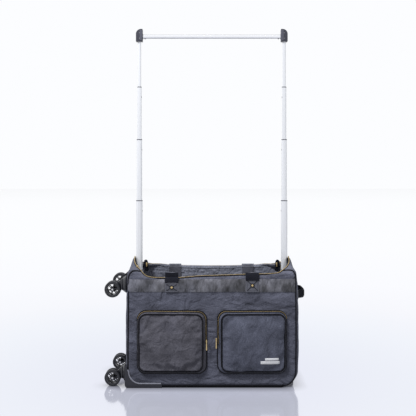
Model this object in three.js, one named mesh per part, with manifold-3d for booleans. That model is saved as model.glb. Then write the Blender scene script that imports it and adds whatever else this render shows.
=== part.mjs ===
// A soft-sided wheeled garment case that lies on its long side.
// A two-pole telescopic rail stands up out of its open mouth and carries a hanging bar.
// Millimetres. +X runs from the wheel end to the grip end, the front faces -Y, +Z is up.
// The origin is on the floor, under the middle of the whole object.

import * as THREE from 'three';
import { mergeVertices } from 'three/addons/utils/BufferGeometryUtils.js';
import Module from 'manifold-3d';

const wasm = await Module();
wasm.setup();

// ---------------------------------------------------------------------------
// Driving dimensions
// ---------------------------------------------------------------------------

// The bag's body
const bodyLength = 500; // outer face to outer face of the two end panels
const bodyDepth = 224; // outer face to outer face of the front and back panels
const lipHeight = 326; // top edge of the front and back panels
const peakRise = 41; // how far an end panel's peak stands above that edge
const leanDrop = 26; // an end panel starts to lean inwards this far below the lip
const leanInset = 13; // how far its peak leans in
const panelThickness = 4;
const sewnGap = 0.3; // between pieces that are sewn, screwed or pressed together

// Skid round the bottom corner at the wheel end, and the two feet at the other end
const skidThickness = 3;
const skidUpright = 66;
const skidRun = 105;
const skidBend = 5;
const footLength = 23;
const footWidth = 16;
const footInset = 12; // from the foot to the end face
const footSideInset = 22; // from the foot's middle to the front or back face

// Stiff board on the floor, with a socket for each rail sleeve
const boardThickness = 4;
const boardInset = 10;
const socketHeight = 14;
const socketWall = 3;

// Telescopic hanging rail
const railStages = 4; // moving tubes on each side
const railEndGap = 1.35; // between the widest moving tube and the leaning end panel at its peak
const sleeveWidth = 22.4;
const sleeveDepth = 20;
const tubeWall = 1.0;
const tubeSlack = 0.55; // running gap between one tube and the next
const tubeCorner = 0.42; // corner radius, as a share of a tube's depth
const sleeveRise = 2; // the sleeves stand this far above the lip
const exposures = [212, 187, 161, 139]; // how far each tube stands out of the one below
const tubeOverlap = 60; // what stays inside the tube below at full height
const lockDrop = 31; // from a tube's top edge to its lock button
const lockDiameter = 5;
const lockThickness = 0.9;
const lockProud = 0.2;
const lockGap = 0.3;
const lockedTubes = [1, 2]; // the tubes whose lock buttons show

// Hanging bar and its end caps
const capWidth = 20;
const capHeight = 38;
const capDepth = 18;
const capCurveWidth = 16;
const capCurveHeight = 15;
const barDiameter = 12.5;
const barWall = 1.2;
const barRise = 15.6; // from a cap's bottom face to the bar's axis
const barSocketDepth = 7;
const tubeSocketDepth = 8;

// Twin-wheel swivel casters
const wheelDiameter = 47;
const wheelWidth = 11;
const wheelBore = 5.6;
const wheelHub = 8;
const wheelDish = 2.2; // how far a wheel's side is sunk inside its rim
const wheelFloorGap = 1.0; // the low wheels hang clear of the floor
const forkWeb = 6;
const wheelGap = 0.5;
const casterTrail = 14; // from the swivel axis down to the wheel axle
const casterReach = 41; // from the end face out to the wheel axle
const casterSpread = 86; // from the middle of the body to each swivel axis
const casterRise = 258.5; // between the low and the high pair of swivel axes
const mountDiameter = 50;
const mountLength = 11; // from the end face to the mount's outer face
const forkDiscDiameter = 36;
const forkDiscThickness = 3.5;
const forkBossRadius = 8;
const forkWebInset = 4; // from the disc's edge to the web
const forkWebStep = 2; // how far the web runs straight out before it slants
const axleDiameter = 5;

// Pockets on the front and the zip sliders beside them
const pocketWidth = 200;
const pocketHeight = 182;
const pocketProud = 16;
const pocketCorner = 25;
const pocketBottom = 42;
const pocketMiddle = 116; // from the middle of the body to each pocket's middle
const sliderHeight = 10;
const sliderWidth = 4.4;
const sliderDepth = 7;
const sliderSink = 2; // a slider's face lies this far behind its pocket's
const sliderCorner = 1.2;
const pullSink = 1; // a pull lies this far behind its slider's face
const pullLength = 21;
const pullWidth = 1.6;
const pullDepth = 5;
const sliderGap = 1.6; // between a slider and its pocket
const sliderTop = 142;

// Carry handles that hang inside the mouth
const strapMiddle = 117; // from the middle of the body to each strap
const strapWidth = 38;
const strapThickness = 4;
const handleDrop = 104; // from the hinge line to the loop's lowest edge; it swings clear of the pull handle
const handleGripHeight = 30;
const handleInset = 4; // between a handle and the panel beside it
const handleHingeRise = 8; // the hinge line stands this far above the lip
const handleCorner = 18;

// Grab handle on the grip end
const grabSpan = 110;
const grabHeight = 26;
const grabReach = 31;
const grabThickness = 6;
const grabMiddle = 262;
const grabFoot = 16;
const grabFootThickness = 4;
const grabShoulder = 20; // length of each slanted shoulder
const grabWeb = 3; // a shoulder's thickness along Y

// Pull handle with two tubes along the back panel
const trolleyMiddle = 160; // height of the grip's middle
const trolleyTubeSpread = 55;
const trolleyTubeBack = 19; // from the back panel's inner face to the tubes' axis
const trolleyOuterWidth = 16;
const trolleyOuterDepth = 12;
const trolleyWall = 1.2;
const trolleySlack = 0.5;
const trolleyStroke = 400;
const trolleyOverlap = 44;
const trolleyEndGap = 14; // between the outer tubes and the wheel end panel
const cupDepth = 22;
const cupLength = 156;
const cupWidth = 38;
const cupWall = 2;
const gripWidth = 18;
const gripThickness = 17;
const gripEndGap = 3; // between the grip and the cup's end walls
const gripCorner = 6;
const gripRecess = 1.5; // the grip's face lies this far inside the end face
const pullButtonLength = 24;
const pullButtonWidth = 8;
const pullButtonHeight = 5;
const pullButtonSink = 3.5;
const pullButtonProud = 1; // above the grip's face

// Facets
const roundSegments = 24;
const cornerSegments = 2;
const smallSides = 12; // sides of an axle or a lock button

// ---------------------------------------------------------------------------
// Worked-out sizes
// ---------------------------------------------------------------------------

const halfLength = bodyLength / 2;
const poleOffset = halfLength - panelThickness - leanInset - railEndGap
  - (sleeveWidth / 2 - tubeWall - tubeSlack); // from the middle of the body to each pole's axis
const halfDepth = bodyDepth / 2;
const leanHeight = lipHeight - leanDrop;
const peakHeight = lipHeight + peakRise;
const lipInset = leanInset * leanDrop / (leanDrop + peakRise);
const sleeveTop = lipHeight + sleeveRise;
const floorPanelBottom = skidThickness + sewnGap;
const floorPanelTop = floorPanelBottom + panelThickness;
const boardBottom = floorPanelTop + sewnGap;
const boardTop = boardBottom + boardThickness;
const wheelRadius = wheelDiameter / 2;
const leftReach = halfLength + casterReach + wheelRadius;
const rightReach = halfLength + grabReach;
const frontReach = halfDepth + pocketProud;
const lowSwivel = wheelRadius + wheelFloorGap + casterTrail;
const shiftX = (leftReach - rightReach) / 2;
const shiftY = (frontReach - halfDepth) / 2;

// ---------------------------------------------------------------------------
// Finishes
// ---------------------------------------------------------------------------

const finishes = {
  nylon: { color: 0x4a4c57, roughness: 0.75, metalness: 0 },
  band: { color: 0x55545a, roughness: 0.5, metalness: 0 },
  webbing: { color: 0x26272d, roughness: 0.8, metalness: 0 },
  board: { color: 0x2c2d31, roughness: 0.8, metalness: 0 },
  skid: { color: 0x3c3d44, roughness: 0.45, metalness: 0 },
  rubber: { color: 0x1c1c20, roughness: 0.7, metalness: 0 },
  blackPlastic: { color: 0x1b1b20, roughness: 0.35, metalness: 0 },
  capPlastic: { color: 0x3c3c44, roughness: 0.5, metalness: 0 },
  railMetal: { color: 0xd5d6da, roughness: 0.3, metalness: 0.9 },
  steel: { color: 0x9a9ba0, roughness: 0.35, metalness: 1 },
  brass: { color: 0xc7a765, roughness: 0.3, metalness: 1 },
};

// ---------------------------------------------------------------------------
// Shape helpers
// ---------------------------------------------------------------------------

/** An outline with square corners, centred on (u, v). */
function rectangle(width, height, u = 0, v = 0) {
  return roundedRectangle(width, height, 0, u, v);
}

/** An outline with round corners, centred on (u, v). */
function roundedRectangle(width, height, radius, u = 0, v = 0) {
  const left = u - width / 2;
  const right = u + width / 2;
  const low = v - height / 2;
  const high = v + height / 2;
  const shape = new THREE.Shape();
  shape.moveTo(left + radius, low);
  shape.lineTo(right - radius, low);
  if (radius > 0) shape.absarc(right - radius, low + radius, radius, -Math.PI / 2, 0);
  shape.lineTo(right, high - radius);
  if (radius > 0) shape.absarc(right - radius, high - radius, radius, 0, Math.PI / 2);
  shape.lineTo(left + radius, high);
  if (radius > 0) shape.absarc(left + radius, high - radius, radius, Math.PI / 2, Math.PI);
  shape.lineTo(left, low + radius);
  if (radius > 0) shape.absarc(left + radius, low + radius, radius, Math.PI, 1.5 * Math.PI);
  shape.closePath();
  return shape;
}

/** A closed outline through a list of [u, v] corners. */
function polygon(corners) {
  return new THREE.Shape(corners.map(([u, v]) => new THREE.Vector2(u, v)));
}

// An outline's u and v lie along Y and Z, X and Z, or X and Y.
const outlineFrames = {
  x: new THREE.Matrix4().makeBasis(
    new THREE.Vector3(0, 1, 0),
    new THREE.Vector3(0, 0, 1),
    new THREE.Vector3(1, 0, 0),
  ),
  y: new THREE.Matrix4().makeBasis(
    new THREE.Vector3(1, 0, 0),
    new THREE.Vector3(0, 0, 1),
    new THREE.Vector3(0, -1, 0),
  ),
  z: new THREE.Matrix4(),
};

/** The same outline as straight edges, with no two neighbouring points alike. */
function facetted(outline, segments) {
  const smallestEdge = 1e-3;
  const distinct = (points) => points.filter(
    (point, i) => point.distanceTo(points[(i + 1) % points.length]) > smallestEdge,
  );
  const { shape, holes } = outline.extractPoints(segments);
  const straight = new THREE.Shape(distinct(shape));
  straight.holes = holes.map((hole) => new THREE.Path(distinct(hole)));
  return straight;
}

/** Extrudes an outline along one axis, from one coordinate to another. */
function prism(axis, outline, from, to, segments = cornerSegments) {
  const geometry = new THREE.ExtrudeGeometry(facetted(outline, segments), {
    depth: to - from,
    bevelEnabled: false,
  });
  geometry.applyMatrix4(outlineFrames[axis]);
  const start = { x: [from, 0, 0], y: [0, to, 0], z: [0, 0, from] }[axis];
  return geometry.translate(...start);
}

/** A round rod along one axis, centred on the other two coordinates. */
function rod(axis, diameter, from, to, u, v, sides = roundSegments) {
  const circle = new THREE.Shape().absarc(u, v, diameter / 2, 0, 2 * Math.PI);
  // An arc has two edges for each of its segments.
  return prism(axis, circle, from, to, sides / 2);
}

/** A box from its lowest to its highest corner. */
function block(low, high) {
  const outline = rectangle(
    high[0] - low[0],
    high[1] - low[1],
    (low[0] + high[0]) / 2,
    (low[1] + high[1]) / 2,
  );
  return prism('z', outline, low[2], high[2]);
}

function toSolid(geometry) {
  const bare = geometry.clone();
  bare.deleteAttribute('normal');
  bare.deleteAttribute('uv');
  const merged = mergeVertices(bare, 1e-4);
  return new wasm.Manifold(
    new wasm.Mesh({
      numProp: 3,
      vertProperties: new Float32Array(merged.attributes.position.array),
      triVerts: new Uint32Array(merged.index.array),
    }),
  );
}

function toGeometry(solid) {
  const mesh = solid.getMesh();
  const geometry = new THREE.BufferGeometry();
  geometry.setAttribute('position', new THREE.BufferAttribute(mesh.vertProperties, 3));
  geometry.setIndex(new THREE.BufferAttribute(mesh.triVerts, 1));
  const flat = geometry.toNonIndexed();
  flat.computeVertexNormals();
  return flat;
}

/** Joins solids that touch or overlap. */
function join(...geometries) {
  const solids = geometries.map(toSolid);
  return toGeometry(solids.reduce((whole, piece) => whole.add(piece)));
}

/** Cuts every tool out of a body. */
function cut(body, ...tools) {
  const solids = tools.map(toSolid);
  return toGeometry(solids.reduce((whole, tool) => whole.subtract(tool), toSolid(body)));
}

/** What two solids have in common. */
function common(a, b) {
  return toGeometry(toSolid(a).intersect(toSolid(b)));
}

const assembly = new THREE.Group();
assembly.position.set(shiftX, shiftY, 0);

/** Adds one named piece to a group. */
function piece(name, finish, geometry, group = assembly) {
  const mesh = new THREE.Mesh(geometry, new THREE.MeshStandardMaterial(finishes[finish]));
  mesh.name = name;
  group.add(mesh);
  return mesh;
}

// ---------------------------------------------------------------------------
// Bag: panels, board, skid and feet
// ---------------------------------------------------------------------------

// The cup of the pull handle is let into the grip end panel.
const cupMiddleY = halfDepth - panelThickness - trolleyTubeBack - (cupWidth - gripWidth) / 2
  + cupWall + gripEndGap;
const cupOpening = rectangle(cupWidth + 2 * sewnGap, cupLength + 2 * sewnGap, cupMiddleY, trolleyMiddle);

/** An end panel: a gable outline whose upper part leans inwards. */
function endPanel() {
  const outer = halfLength;
  const inner = halfLength - panelThickness;
  const profile = polygon([
    [inner, floorPanelBottom],
    [outer, floorPanelBottom],
    [outer, leanHeight],
    [outer - leanInset, peakHeight],
    [inner - leanInset, peakHeight],
    [inner, leanHeight],
  ]);
  const gable = polygon([
    [-halfDepth, floorPanelBottom],
    [halfDepth, floorPanelBottom],
    [halfDepth, lipHeight],
    [0, peakHeight],
    [-halfDepth, lipHeight],
  ]);
  return common(
    prism('y', profile, -halfDepth, halfDepth),
    prism('x', gable, inner - leanInset - panelThickness, outer + panelThickness),
  );
}

function makeBag() {
  const inside = halfLength - panelThickness - sewnGap;
  const sideBottom = floorPanelTop + sewnGap;
  const sideOutline = polygon([
    [-inside, sideBottom],
    [inside, sideBottom],
    [inside, leanHeight - sewnGap],
    [inside - lipInset - sewnGap, lipHeight],
    [lipInset + sewnGap - inside, lipHeight],
    [-inside, leanHeight - sewnGap],
  ]);
  piece('front_panel', 'nylon', prism('y', sideOutline, -halfDepth, panelThickness - halfDepth));
  piece('back_panel', 'nylon', prism('y', sideOutline, halfDepth - panelThickness, halfDepth));
  piece('floor_panel', 'nylon', block(
    [-inside, -halfDepth, floorPanelBottom],
    [inside, halfDepth, floorPanelTop],
  ));
  const grip = cut(endPanel(), prism('x', cupOpening, halfLength - cupDepth, halfLength + 1));
  piece('grip_end_panel', 'nylon', grip);
  const wheelEnd = endPanel().applyMatrix4(new THREE.Matrix4().makeRotationZ(Math.PI));
  piece('wheel_end_panel', 'nylon', wheelEnd);

  const boardLength = bodyLength - 2 * (panelThickness + boardInset);
  const boardDepth = bodyDepth - 2 * (panelThickness + boardInset);
  let board = prism('z', roundedRectangle(boardLength, boardDepth, boardInset), boardBottom, boardTop);
  for (const side of [-1, 1]) {
    const x = side * poleOffset;
    const socket = prism(
      'z',
      rectangle(sleeveWidth + 2 * (socketWall + sewnGap), sleeveDepth + 2 * (socketWall + sewnGap), x),
      boardTop - 1,
      boardTop + socketHeight,
    );
    const hole = prism(
      'z',
      rectangle(sleeveWidth + 2 * sewnGap, sleeveDepth + 2 * sewnGap, x),
      boardTop,
      boardTop + socketHeight + 1,
    );
    board = cut(join(board, socket), hole);
  }
  piece('floor_board', 'board', board);
}

/** Corner skid: one sheet bent from the floor up the wheel end. */
function makeSkid() {
  const seat = -halfLength - sewnGap;
  const face = seat - skidThickness;
  const outline = new THREE.Shape();
  outline.moveTo(face, skidUpright);
  outline.lineTo(face, skidBend);
  outline.absarc(face + skidBend, skidBend, skidBend, Math.PI, 1.5 * Math.PI);
  outline.lineTo(skidRun - halfLength, 0);
  outline.lineTo(skidRun - halfLength, skidThickness);
  outline.lineTo(seat, skidThickness);
  outline.lineTo(seat, skidUpright);
  outline.closePath();
  piece('kick_plate', 'skid', prism('y', outline, -halfDepth, halfDepth));
}

function makeFeet() {
  const x = halfLength - footInset - footLength / 2;
  for (const [name, side] of [['front_foot', -1], ['back_foot', 1]]) {
    const y = side * (halfDepth - footSideInset);
    const pad = roundedRectangle(footLength, footWidth, footWidth / 4, x, y);
    piece(name, 'rubber', prism('z', pad, 0, skidThickness));
  }
}

// ---------------------------------------------------------------------------
// Telescopic rail
// ---------------------------------------------------------------------------

/** Outline of a tube of one stage, stage 0 being the fixed sleeve. Inset shrinks it on every side. */
function tubeOutline(stage, inset, x) {
  const shrink = 2 * (stage * (tubeWall + tubeSlack) + inset);
  const depth = sleeveDepth - shrink;
  return roundedRectangle(sleeveWidth - shrink, depth, tubeCorner * depth, x);
}

/** A tube of one stage between two heights. */
function tube(stage, x, bottom, top) {
  const outline = tubeOutline(stage, 0, x);
  outline.holes.push(tubeOutline(stage, tubeWall, x));
  return prism('z', outline, bottom, top);
}

/** Height of the top edge of a stage at full height. */
function stageTop(stage) {
  return exposures.slice(0, stage).reduce((height, rise) => height + rise, sleeveTop);
}

/** How far a tube's outer face is from its own axis along X. */
function tubeHalfWidth(stage) {
  return sleeveWidth / 2 - stage * (tubeWall + tubeSlack);
}

/** Lock button: a disc in the tube's wall on the side that faces the other pole. */
function lockButton(stage, side, diameter, proud, thickness) {
  const face = side * (poleOffset - tubeHalfWidth(stage) - proud);
  const back = face + side * thickness;
  const height = stageTop(stage) - lockDrop;
  return rod('x', diameter, Math.min(face, back), Math.max(face, back), 0, height, smallSides);
}

function makePole(label, side) {
  const x = side * poleOffset;
  piece(`rail_sleeve_${label}`, 'railMetal', tube(0, x, boardTop + sewnGap, sleeveTop));
  for (let stage = 1; stage <= railStages; stage += 1) {
    const bottom = stageTop(stage - 1) - tubeOverlap;
    const isLast = stage === railStages;
    const top = stageTop(stage) + (isLast ? tubeSocketDepth - sewnGap : 0);
    let body = tube(stage, x, bottom, top);
    if (lockedTubes.includes(stage)) {
      const hole = lockButton(stage, side, lockDiameter + 2 * lockGap, 1, tubeWall + 2);
      body = cut(body, hole);
      const button = lockButton(stage, side, lockDiameter, lockProud, lockThickness);
      piece(`rail_button_${stage}_${label}`, 'steel', button);
    }
    piece(`rail_tube_${stage}_${label}`, 'railMetal', body);
  }
}

/** End cap: the outer top corner is a quarter of an ellipse. */
function railCap(side) {
  const bottom = stageTop(railStages);
  const top = bottom + capHeight;
  const inner = poleOffset - capWidth / 2;
  const outer = poleOffset + capWidth / 2;
  const outline = new THREE.Shape();
  outline.moveTo(inner, bottom);
  outline.lineTo(outer, bottom);
  outline.lineTo(outer, top - capCurveHeight);
  outline.absellipse(outer - capCurveWidth, top - capCurveHeight, capCurveWidth, capCurveHeight, 0, Math.PI / 2);
  outline.lineTo(inner, top);
  outline.closePath();
  const shell = prism('y', outline, -capDepth / 2, capDepth / 2, 3 * cornerSegments);
  const tubeSocket = prism('z', tubeOutline(railStages, -sewnGap, poleOffset), bottom - 1, bottom + tubeSocketDepth);
  const barSocket = rod('x', barDiameter + 2 * sewnGap, inner - 1, inner + barSocketDepth, 0, bottom + barRise);
  const right = cut(shell, tubeSocket, barSocket);
  return side > 0 ? right : right.applyMatrix4(new THREE.Matrix4().makeRotationZ(Math.PI));
}

function makeRail() {
  const sides = [['left', -1], ['right', 1]];
  for (const [label, side] of sides) {
    makePole(label, side);
    piece(`rail_cap_${label}`, 'capPlastic', railCap(side));
  }
  const reach = poleOffset - capWidth / 2 + barSocketDepth - sewnGap;
  const height = stageTop(railStages) + barRise;
  piece('rail_crossbar', 'railMetal', cut(
    rod('x', barDiameter, -reach, reach, 0, height),
    rod('x', barDiameter - 2 * barWall, -reach - 1, reach + 1, 0, height),
  ));
}

// ---------------------------------------------------------------------------
// Casters
// ---------------------------------------------------------------------------

/** Twin wheel: a tyre round a dished side, revolved about Y. */
function wheel() {
  const half = wheelWidth / 2;
  const round = 2.5;
  const rim = wheelRadius - 4.5;
  const dish = half - wheelDish;
  const profile = [
    [wheelBore / 2, -half],
    [wheelHub, -half],
    [wheelHub + 1, -dish],
    [rim - 1, -dish],
    [rim, -half],
    [wheelRadius - round, -half],
    [wheelRadius, -half + round],
    [wheelRadius, half - round],
    [wheelRadius - round, half],
    [rim, half],
    [rim - 1, dish],
    [wheelHub + 1, dish],
    [wheelHub, half],
    [wheelBore / 2, half],
    [wheelBore / 2, -half],
  ];
  return new THREE.LatheGeometry(profile.map(([r, y]) => new THREE.Vector2(r, y)), roundSegments);
}

/** Fork: a swivel disc with one web that runs down between the wheels. */
function fork() {
  const discInner = -mountLength - 2 * sewnGap;
  const discOuter = discInner - forkDiscThickness;
  const disc = rod('x', forkDiscDiameter, discOuter, discInner, 0, 0);
  const web = new THREE.Shape();
  const webReach = forkDiscDiameter / 2 - forkWebInset;
  const webOuter = discOuter - forkWebStep;
  web.moveTo(discInner - 1, webReach);
  web.lineTo(webOuter, webReach);
  web.lineTo(-casterReach, forkBossRadius - casterTrail);
  web.absarc(-casterReach, -casterTrail, forkBossRadius, Math.PI / 2, 1.5 * Math.PI);
  web.lineTo(webOuter, -webReach);
  web.lineTo(discInner - 1, -webReach);
  web.closePath();
  const arm = prism('y', web, -forkWeb / 2, forkWeb / 2);
  const bore = rod('y', wheelBore, -forkWeb, forkWeb, -casterReach, -casterTrail, smallSides);
  return cut(join(disc, arm), bore);
}

function makeCaster(label, y, z) {
  const caster = new THREE.Group();
  caster.position.set(-halfLength, y, z);
  assembly.add(caster);
  // The low mounts seat on the skid, the high ones on the end panel.
  const onSkid = z - mountDiameter / 2 < skidUpright;
  const seat = -sewnGap - (onSkid ? skidThickness + sewnGap : 0);
  piece(`caster_mount_${label}`, 'blackPlastic', rod('x', mountDiameter, -mountLength, seat, 0, 0), caster);
  piece(`caster_fork_${label}`, 'blackPlastic', fork(), caster);
  const overall = forkWeb + 2 * (wheelGap + wheelWidth);
  const axle = rod('y', axleDiameter, -overall / 2, overall / 2, -casterReach, -casterTrail, smallSides);
  piece(`caster_axle_${label}`, 'steel', axle, caster);
  for (const [wheelSide, direction] of [['a', -1], ['b', 1]]) {
    const mesh = piece(`wheel_${label}_${wheelSide}`, 'rubber', wheel(), caster);
    const offset = direction * (forkWeb / 2 + wheelGap + wheelWidth / 2);
    mesh.position.set(-casterReach, offset, -casterTrail);
  }
}

function makeCasters() {
  for (const [level, z] of [['low', lowSwivel], ['high', lowSwivel + casterRise]]) {
    makeCaster(`${level}_front`, -casterSpread, z);
    makeCaster(`${level}_back`, casterSpread, z);
  }
}

// ---------------------------------------------------------------------------
// Pockets, sliders and handles
// ---------------------------------------------------------------------------

function makePockets() {
  for (const [label, side] of [['left', -1], ['right', 1]]) {
    const x = side * pocketMiddle;
    const outline = roundedRectangle(pocketWidth, pocketHeight, pocketCorner, x, pocketBottom + pocketHeight / 2);
    piece(`${label}_pocket`, 'nylon', prism('y', outline, -halfDepth - pocketProud, -halfDepth - sewnGap));

    // The slider runs on the pocket's inner side and its pull hangs straight down.
    const pocketEdge = side * (pocketMiddle - pocketWidth / 2);
    const near = pocketEdge - side * sliderGap;
    const middle = near - side * sliderWidth / 2;
    const front = -halfDepth - pocketProud + sliderSink;
    const body = roundedRectangle(sliderWidth, sliderHeight, sliderCorner, middle, sliderTop - sliderHeight / 2);
    const pullBottom = sliderTop - sliderHeight - pullLength;
    const pullMiddle = (sliderTop - sliderHeight / 2 + pullBottom) / 2;
    const pullHeight = sliderTop - sliderHeight / 2 - pullBottom;
    const pull = rectangle(pullWidth, pullHeight, middle, pullMiddle);
    piece(`${label}_pocket_slider`, 'brass', join(
      prism('y', body, front, front + sliderDepth),
      prism('y', pull, front + pullSink, front + pullSink + pullDepth),
    ));
  }
}

/** Carry handle: a flat loop that hangs from the lip on the inside of a panel. */
function makeCarryHandle(name, side) {
  const hinge = lipHeight + handleHingeRise;
  const bottom = hinge - handleDrop;
  const width = 2 * strapMiddle + strapWidth;
  const loop = roundedRectangle(width, handleDrop + handleCorner, handleCorner, 0, (bottom + hinge + handleCorner) / 2);
  const gapWidth = width - 2 * strapWidth;
  const gapBottom = bottom + handleGripHeight;
  const gapTop = hinge + 2 * handleCorner;
  const gap = roundedRectangle(gapWidth, gapTop - gapBottom, handleCorner, 0, (gapTop + gapBottom) / 2);
  const wall = side * (halfDepth - panelThickness - handleInset);
  const from = side < 0 ? wall : wall - strapThickness;
  const above = block([-width, from - 1, hinge], [width, from + strapThickness + 1, hinge + 4 * handleCorner]);
  const flat = cut(
    prism('y', loop, from, from + strapThickness),
    prism('y', gap, from - 1, from + strapThickness + 1),
    above,
  );
  piece(name, 'webbing', flat);
}

/** Grab handle: a bowed strap with two sewn feet on the grip end panel. */
function makeGrabHandle() {
  const seat = halfLength + sewnGap;
  const half = grabSpan / 2;
  const reach = halfLength + grabReach;
  const flat = half - grabShoulder;
  const footFace = seat + grabFootThickness;
  const outline = polygon([
    [seat, -half - grabFoot],
    [footFace, -half - grabFoot],
    [footFace + 1, -half],
    [reach, -flat],
    [reach, flat],
    [footFace + 1, half],
    [footFace, half + grabFoot],
    [seat, half + grabFoot],
    [seat, half - grabWeb],
    [reach - grabThickness, flat - grabWeb],
    [reach - grabThickness, grabWeb - flat],
    [seat, grabWeb - half],
  ]);
  const low = grabMiddle - grabHeight / 2;
  piece('end_grab_handle', 'webbing', prism('z', outline, low, low + grabHeight));
}

// ---------------------------------------------------------------------------
// Pull handle
// ---------------------------------------------------------------------------

function makeTrolley() {
  const axisY = halfDepth - panelThickness - trolleyTubeBack;
  const cupFloor = halfLength - cupDepth;
  const flange = halfLength - 0.5;
  const heights = [['lower', -trolleyTubeSpread], ['upper', trolleyTubeSpread]];
  const tubeSize = (inset) => [trolleyOuterDepth - 2 * inset, trolleyOuterWidth - 2 * inset];
  const tubeShape = (inset, z) => {
    const [depth, width] = tubeSize(inset);
    return roundedRectangle(depth, width, depth / 4, axisY, z);
  };

  const cupShape = rectangle(cupWidth, cupLength, cupMiddleY, trolleyMiddle);
  const cupInside = rectangle(cupWidth - 2 * cupWall, cupLength - 2 * cupWall, cupMiddleY, trolleyMiddle);
  let cup = cut(
    prism('x', cupShape, cupFloor - cupWall, flange),
    prism('x', cupInside, cupFloor, flange + 1),
  );
  const innerInset = trolleyWall + trolleySlack;
  for (const [label, offset] of heights) {
    const z = trolleyMiddle + offset;
    const passage = tubeShape(trolleyWall, z);
    cup = cut(cup, prism('x', passage, cupFloor - cupWall - 1, cupFloor + 1));
    const outer = tubeShape(0, z);
    outer.holes.push(tubeShape(trolleyWall, z));
    const outerEnd = cupFloor - cupWall - sewnGap;
    const outerStart = panelThickness + trolleyEndGap - halfLength;
    piece(`trolley_outer_tube_${label}`, 'railMetal', prism('x', outer, outerStart, outerEnd));
    const inner = tubeShape(innerInset, z);
    inner.holes.push(tubeShape(innerInset + trolleyWall, z));
    const gripBack = halfLength - gripRecess - gripThickness;
    const innerStart = outerEnd - trolleyStroke - trolleyOverlap;
    piece(`trolley_inner_tube_${label}`, 'railMetal', prism('x', inner, innerStart, gripBack - sewnGap));
  }
  piece('trolley_cup', 'blackPlastic', cup);

  const gripLength = cupLength - 2 * (cupWall + gripEndGap);
  const gripFace = halfLength - gripRecess;
  const gripShape = roundedRectangle(gripWidth, gripLength, gripCorner, axisY, trolleyMiddle);
  const buttonHole = roundedRectangle(
    pullButtonWidth + 2 * sewnGap,
    pullButtonLength + 2 * sewnGap,
    pullButtonWidth / 3,
    axisY,
    trolleyMiddle,
  );
  piece('trolley_grip', 'blackPlastic', cut(
    prism('x', gripShape, gripFace - gripThickness, gripFace),
    prism('x', buttonHole, gripFace - pullButtonSink - pullButtonHeight, gripFace + 1),
  ));
  const buttonShape = roundedRectangle(pullButtonWidth, pullButtonLength, pullButtonWidth / 3, axisY, trolleyMiddle);
  const buttonFace = gripFace + pullButtonProud;
  piece('trolley_button', 'capPlastic', prism('x', buttonShape, buttonFace - pullButtonHeight, buttonFace));
}

makeBag();
makeSkid();
makeFeet();
makeRail();
makeCasters();
makePockets();
makeCarryHandle('carry_handle_front', -1);
makeCarryHandle('carry_handle_back', 1);
makeGrabHandle();
makeTrolley();

export default assembly;
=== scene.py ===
"""Looks of a soft-sided wheeled garment case with a telescopic hanging rail.

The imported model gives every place. Lengths inside the classes are millimetres from the middle of
the case's body, and a Layout turns them into metres in the model's own frame.
"""

from __future__ import annotations

import logging
import math
from dataclasses import dataclass, field
from enum import Enum
from typing import Callable, Iterable, Sequence

import bmesh
import bpy
import numpy as np
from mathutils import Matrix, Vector, noise
from mathutils.bvhtree import BVHTree

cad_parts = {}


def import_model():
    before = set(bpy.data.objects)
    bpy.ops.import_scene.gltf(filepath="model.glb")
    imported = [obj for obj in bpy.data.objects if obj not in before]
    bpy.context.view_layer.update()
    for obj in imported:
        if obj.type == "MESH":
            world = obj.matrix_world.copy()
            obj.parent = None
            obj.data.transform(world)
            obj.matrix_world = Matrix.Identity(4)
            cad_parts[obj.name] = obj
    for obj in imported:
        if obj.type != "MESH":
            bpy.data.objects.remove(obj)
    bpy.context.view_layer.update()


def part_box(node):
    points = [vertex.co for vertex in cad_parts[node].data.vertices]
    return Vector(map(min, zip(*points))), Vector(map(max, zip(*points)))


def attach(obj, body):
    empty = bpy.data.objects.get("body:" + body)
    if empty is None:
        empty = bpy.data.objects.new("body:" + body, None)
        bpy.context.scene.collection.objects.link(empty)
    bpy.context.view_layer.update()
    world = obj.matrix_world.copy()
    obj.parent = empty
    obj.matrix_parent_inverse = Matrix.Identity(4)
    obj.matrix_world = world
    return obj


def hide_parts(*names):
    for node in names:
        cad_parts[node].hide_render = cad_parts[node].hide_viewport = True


LOG = logging.getLogger("garment_case")
MM = 0.001
GRAIN_RELIEF = 0.0006  # height of the grain, in metres
FUSE = 1e-6  # points closer than this become one, in metres
CLOTH_FRAMES = 22
SKY = (252, 253, 255)
Colour = tuple[float, float, float]
Path = np.ndarray


def smooth(low: float, high: float, value: np.ndarray) -> np.ndarray:
    """Eased step from 0 below low to 1 above high."""
    t = np.clip((np.asarray(value, float) - low) / (high - low), 0.0, 1.0)
    return t * t * (3 - 2 * t)


def ripple(points: np.ndarray, size: Sequence[float], seed: float) -> np.ndarray:
    """Smooth random height between about -1 and 1 at each point.

    Args:
        points: One row of x, y, z for each point, in millimetres.
        size: Width of one ripple along x, y and z.
        seed: Shifts the pattern.

    Returns:
        One height for each point.
    """
    scaled = np.asarray(points, float).reshape(-1, 3) / np.array(size) + seed
    heights = [noise.noise(Vector(p)) for p in scaled]
    return np.array(heights).reshape(np.asarray(points).shape[:-1])


def linear(colour: Colour) -> tuple[float, float, float, float]:
    """Turns an 8-bit display colour into linear light with full opacity."""
    parts = [c / 255 for c in colour]
    return (*[c / 12.92 if c <= 0.04045 else ((c + 0.055) / 1.055) ** 2.4 for c in parts], 1.0)


def unit(vectors: np.ndarray) -> np.ndarray:
    """The same directions with length 1."""
    return vectors / np.linalg.norm(vectors, axis=-1, keepdims=True)


def through(corners: Sequence[Sequence[float]], count: int, rounds: int) -> np.ndarray:
    """Points along a line through corners, which are softened that many times."""
    corners = np.array(corners, float)
    at = np.linspace(0, len(corners) - 1, count)
    line = np.stack([np.interp(at, np.arange(len(corners)), column) for column in corners.T], axis=1)
    for _ in range(rounds):
        line[1:-1] = (line[:-2] + 2 * line[1:-1] + line[2:]) / 4
    return line


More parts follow.
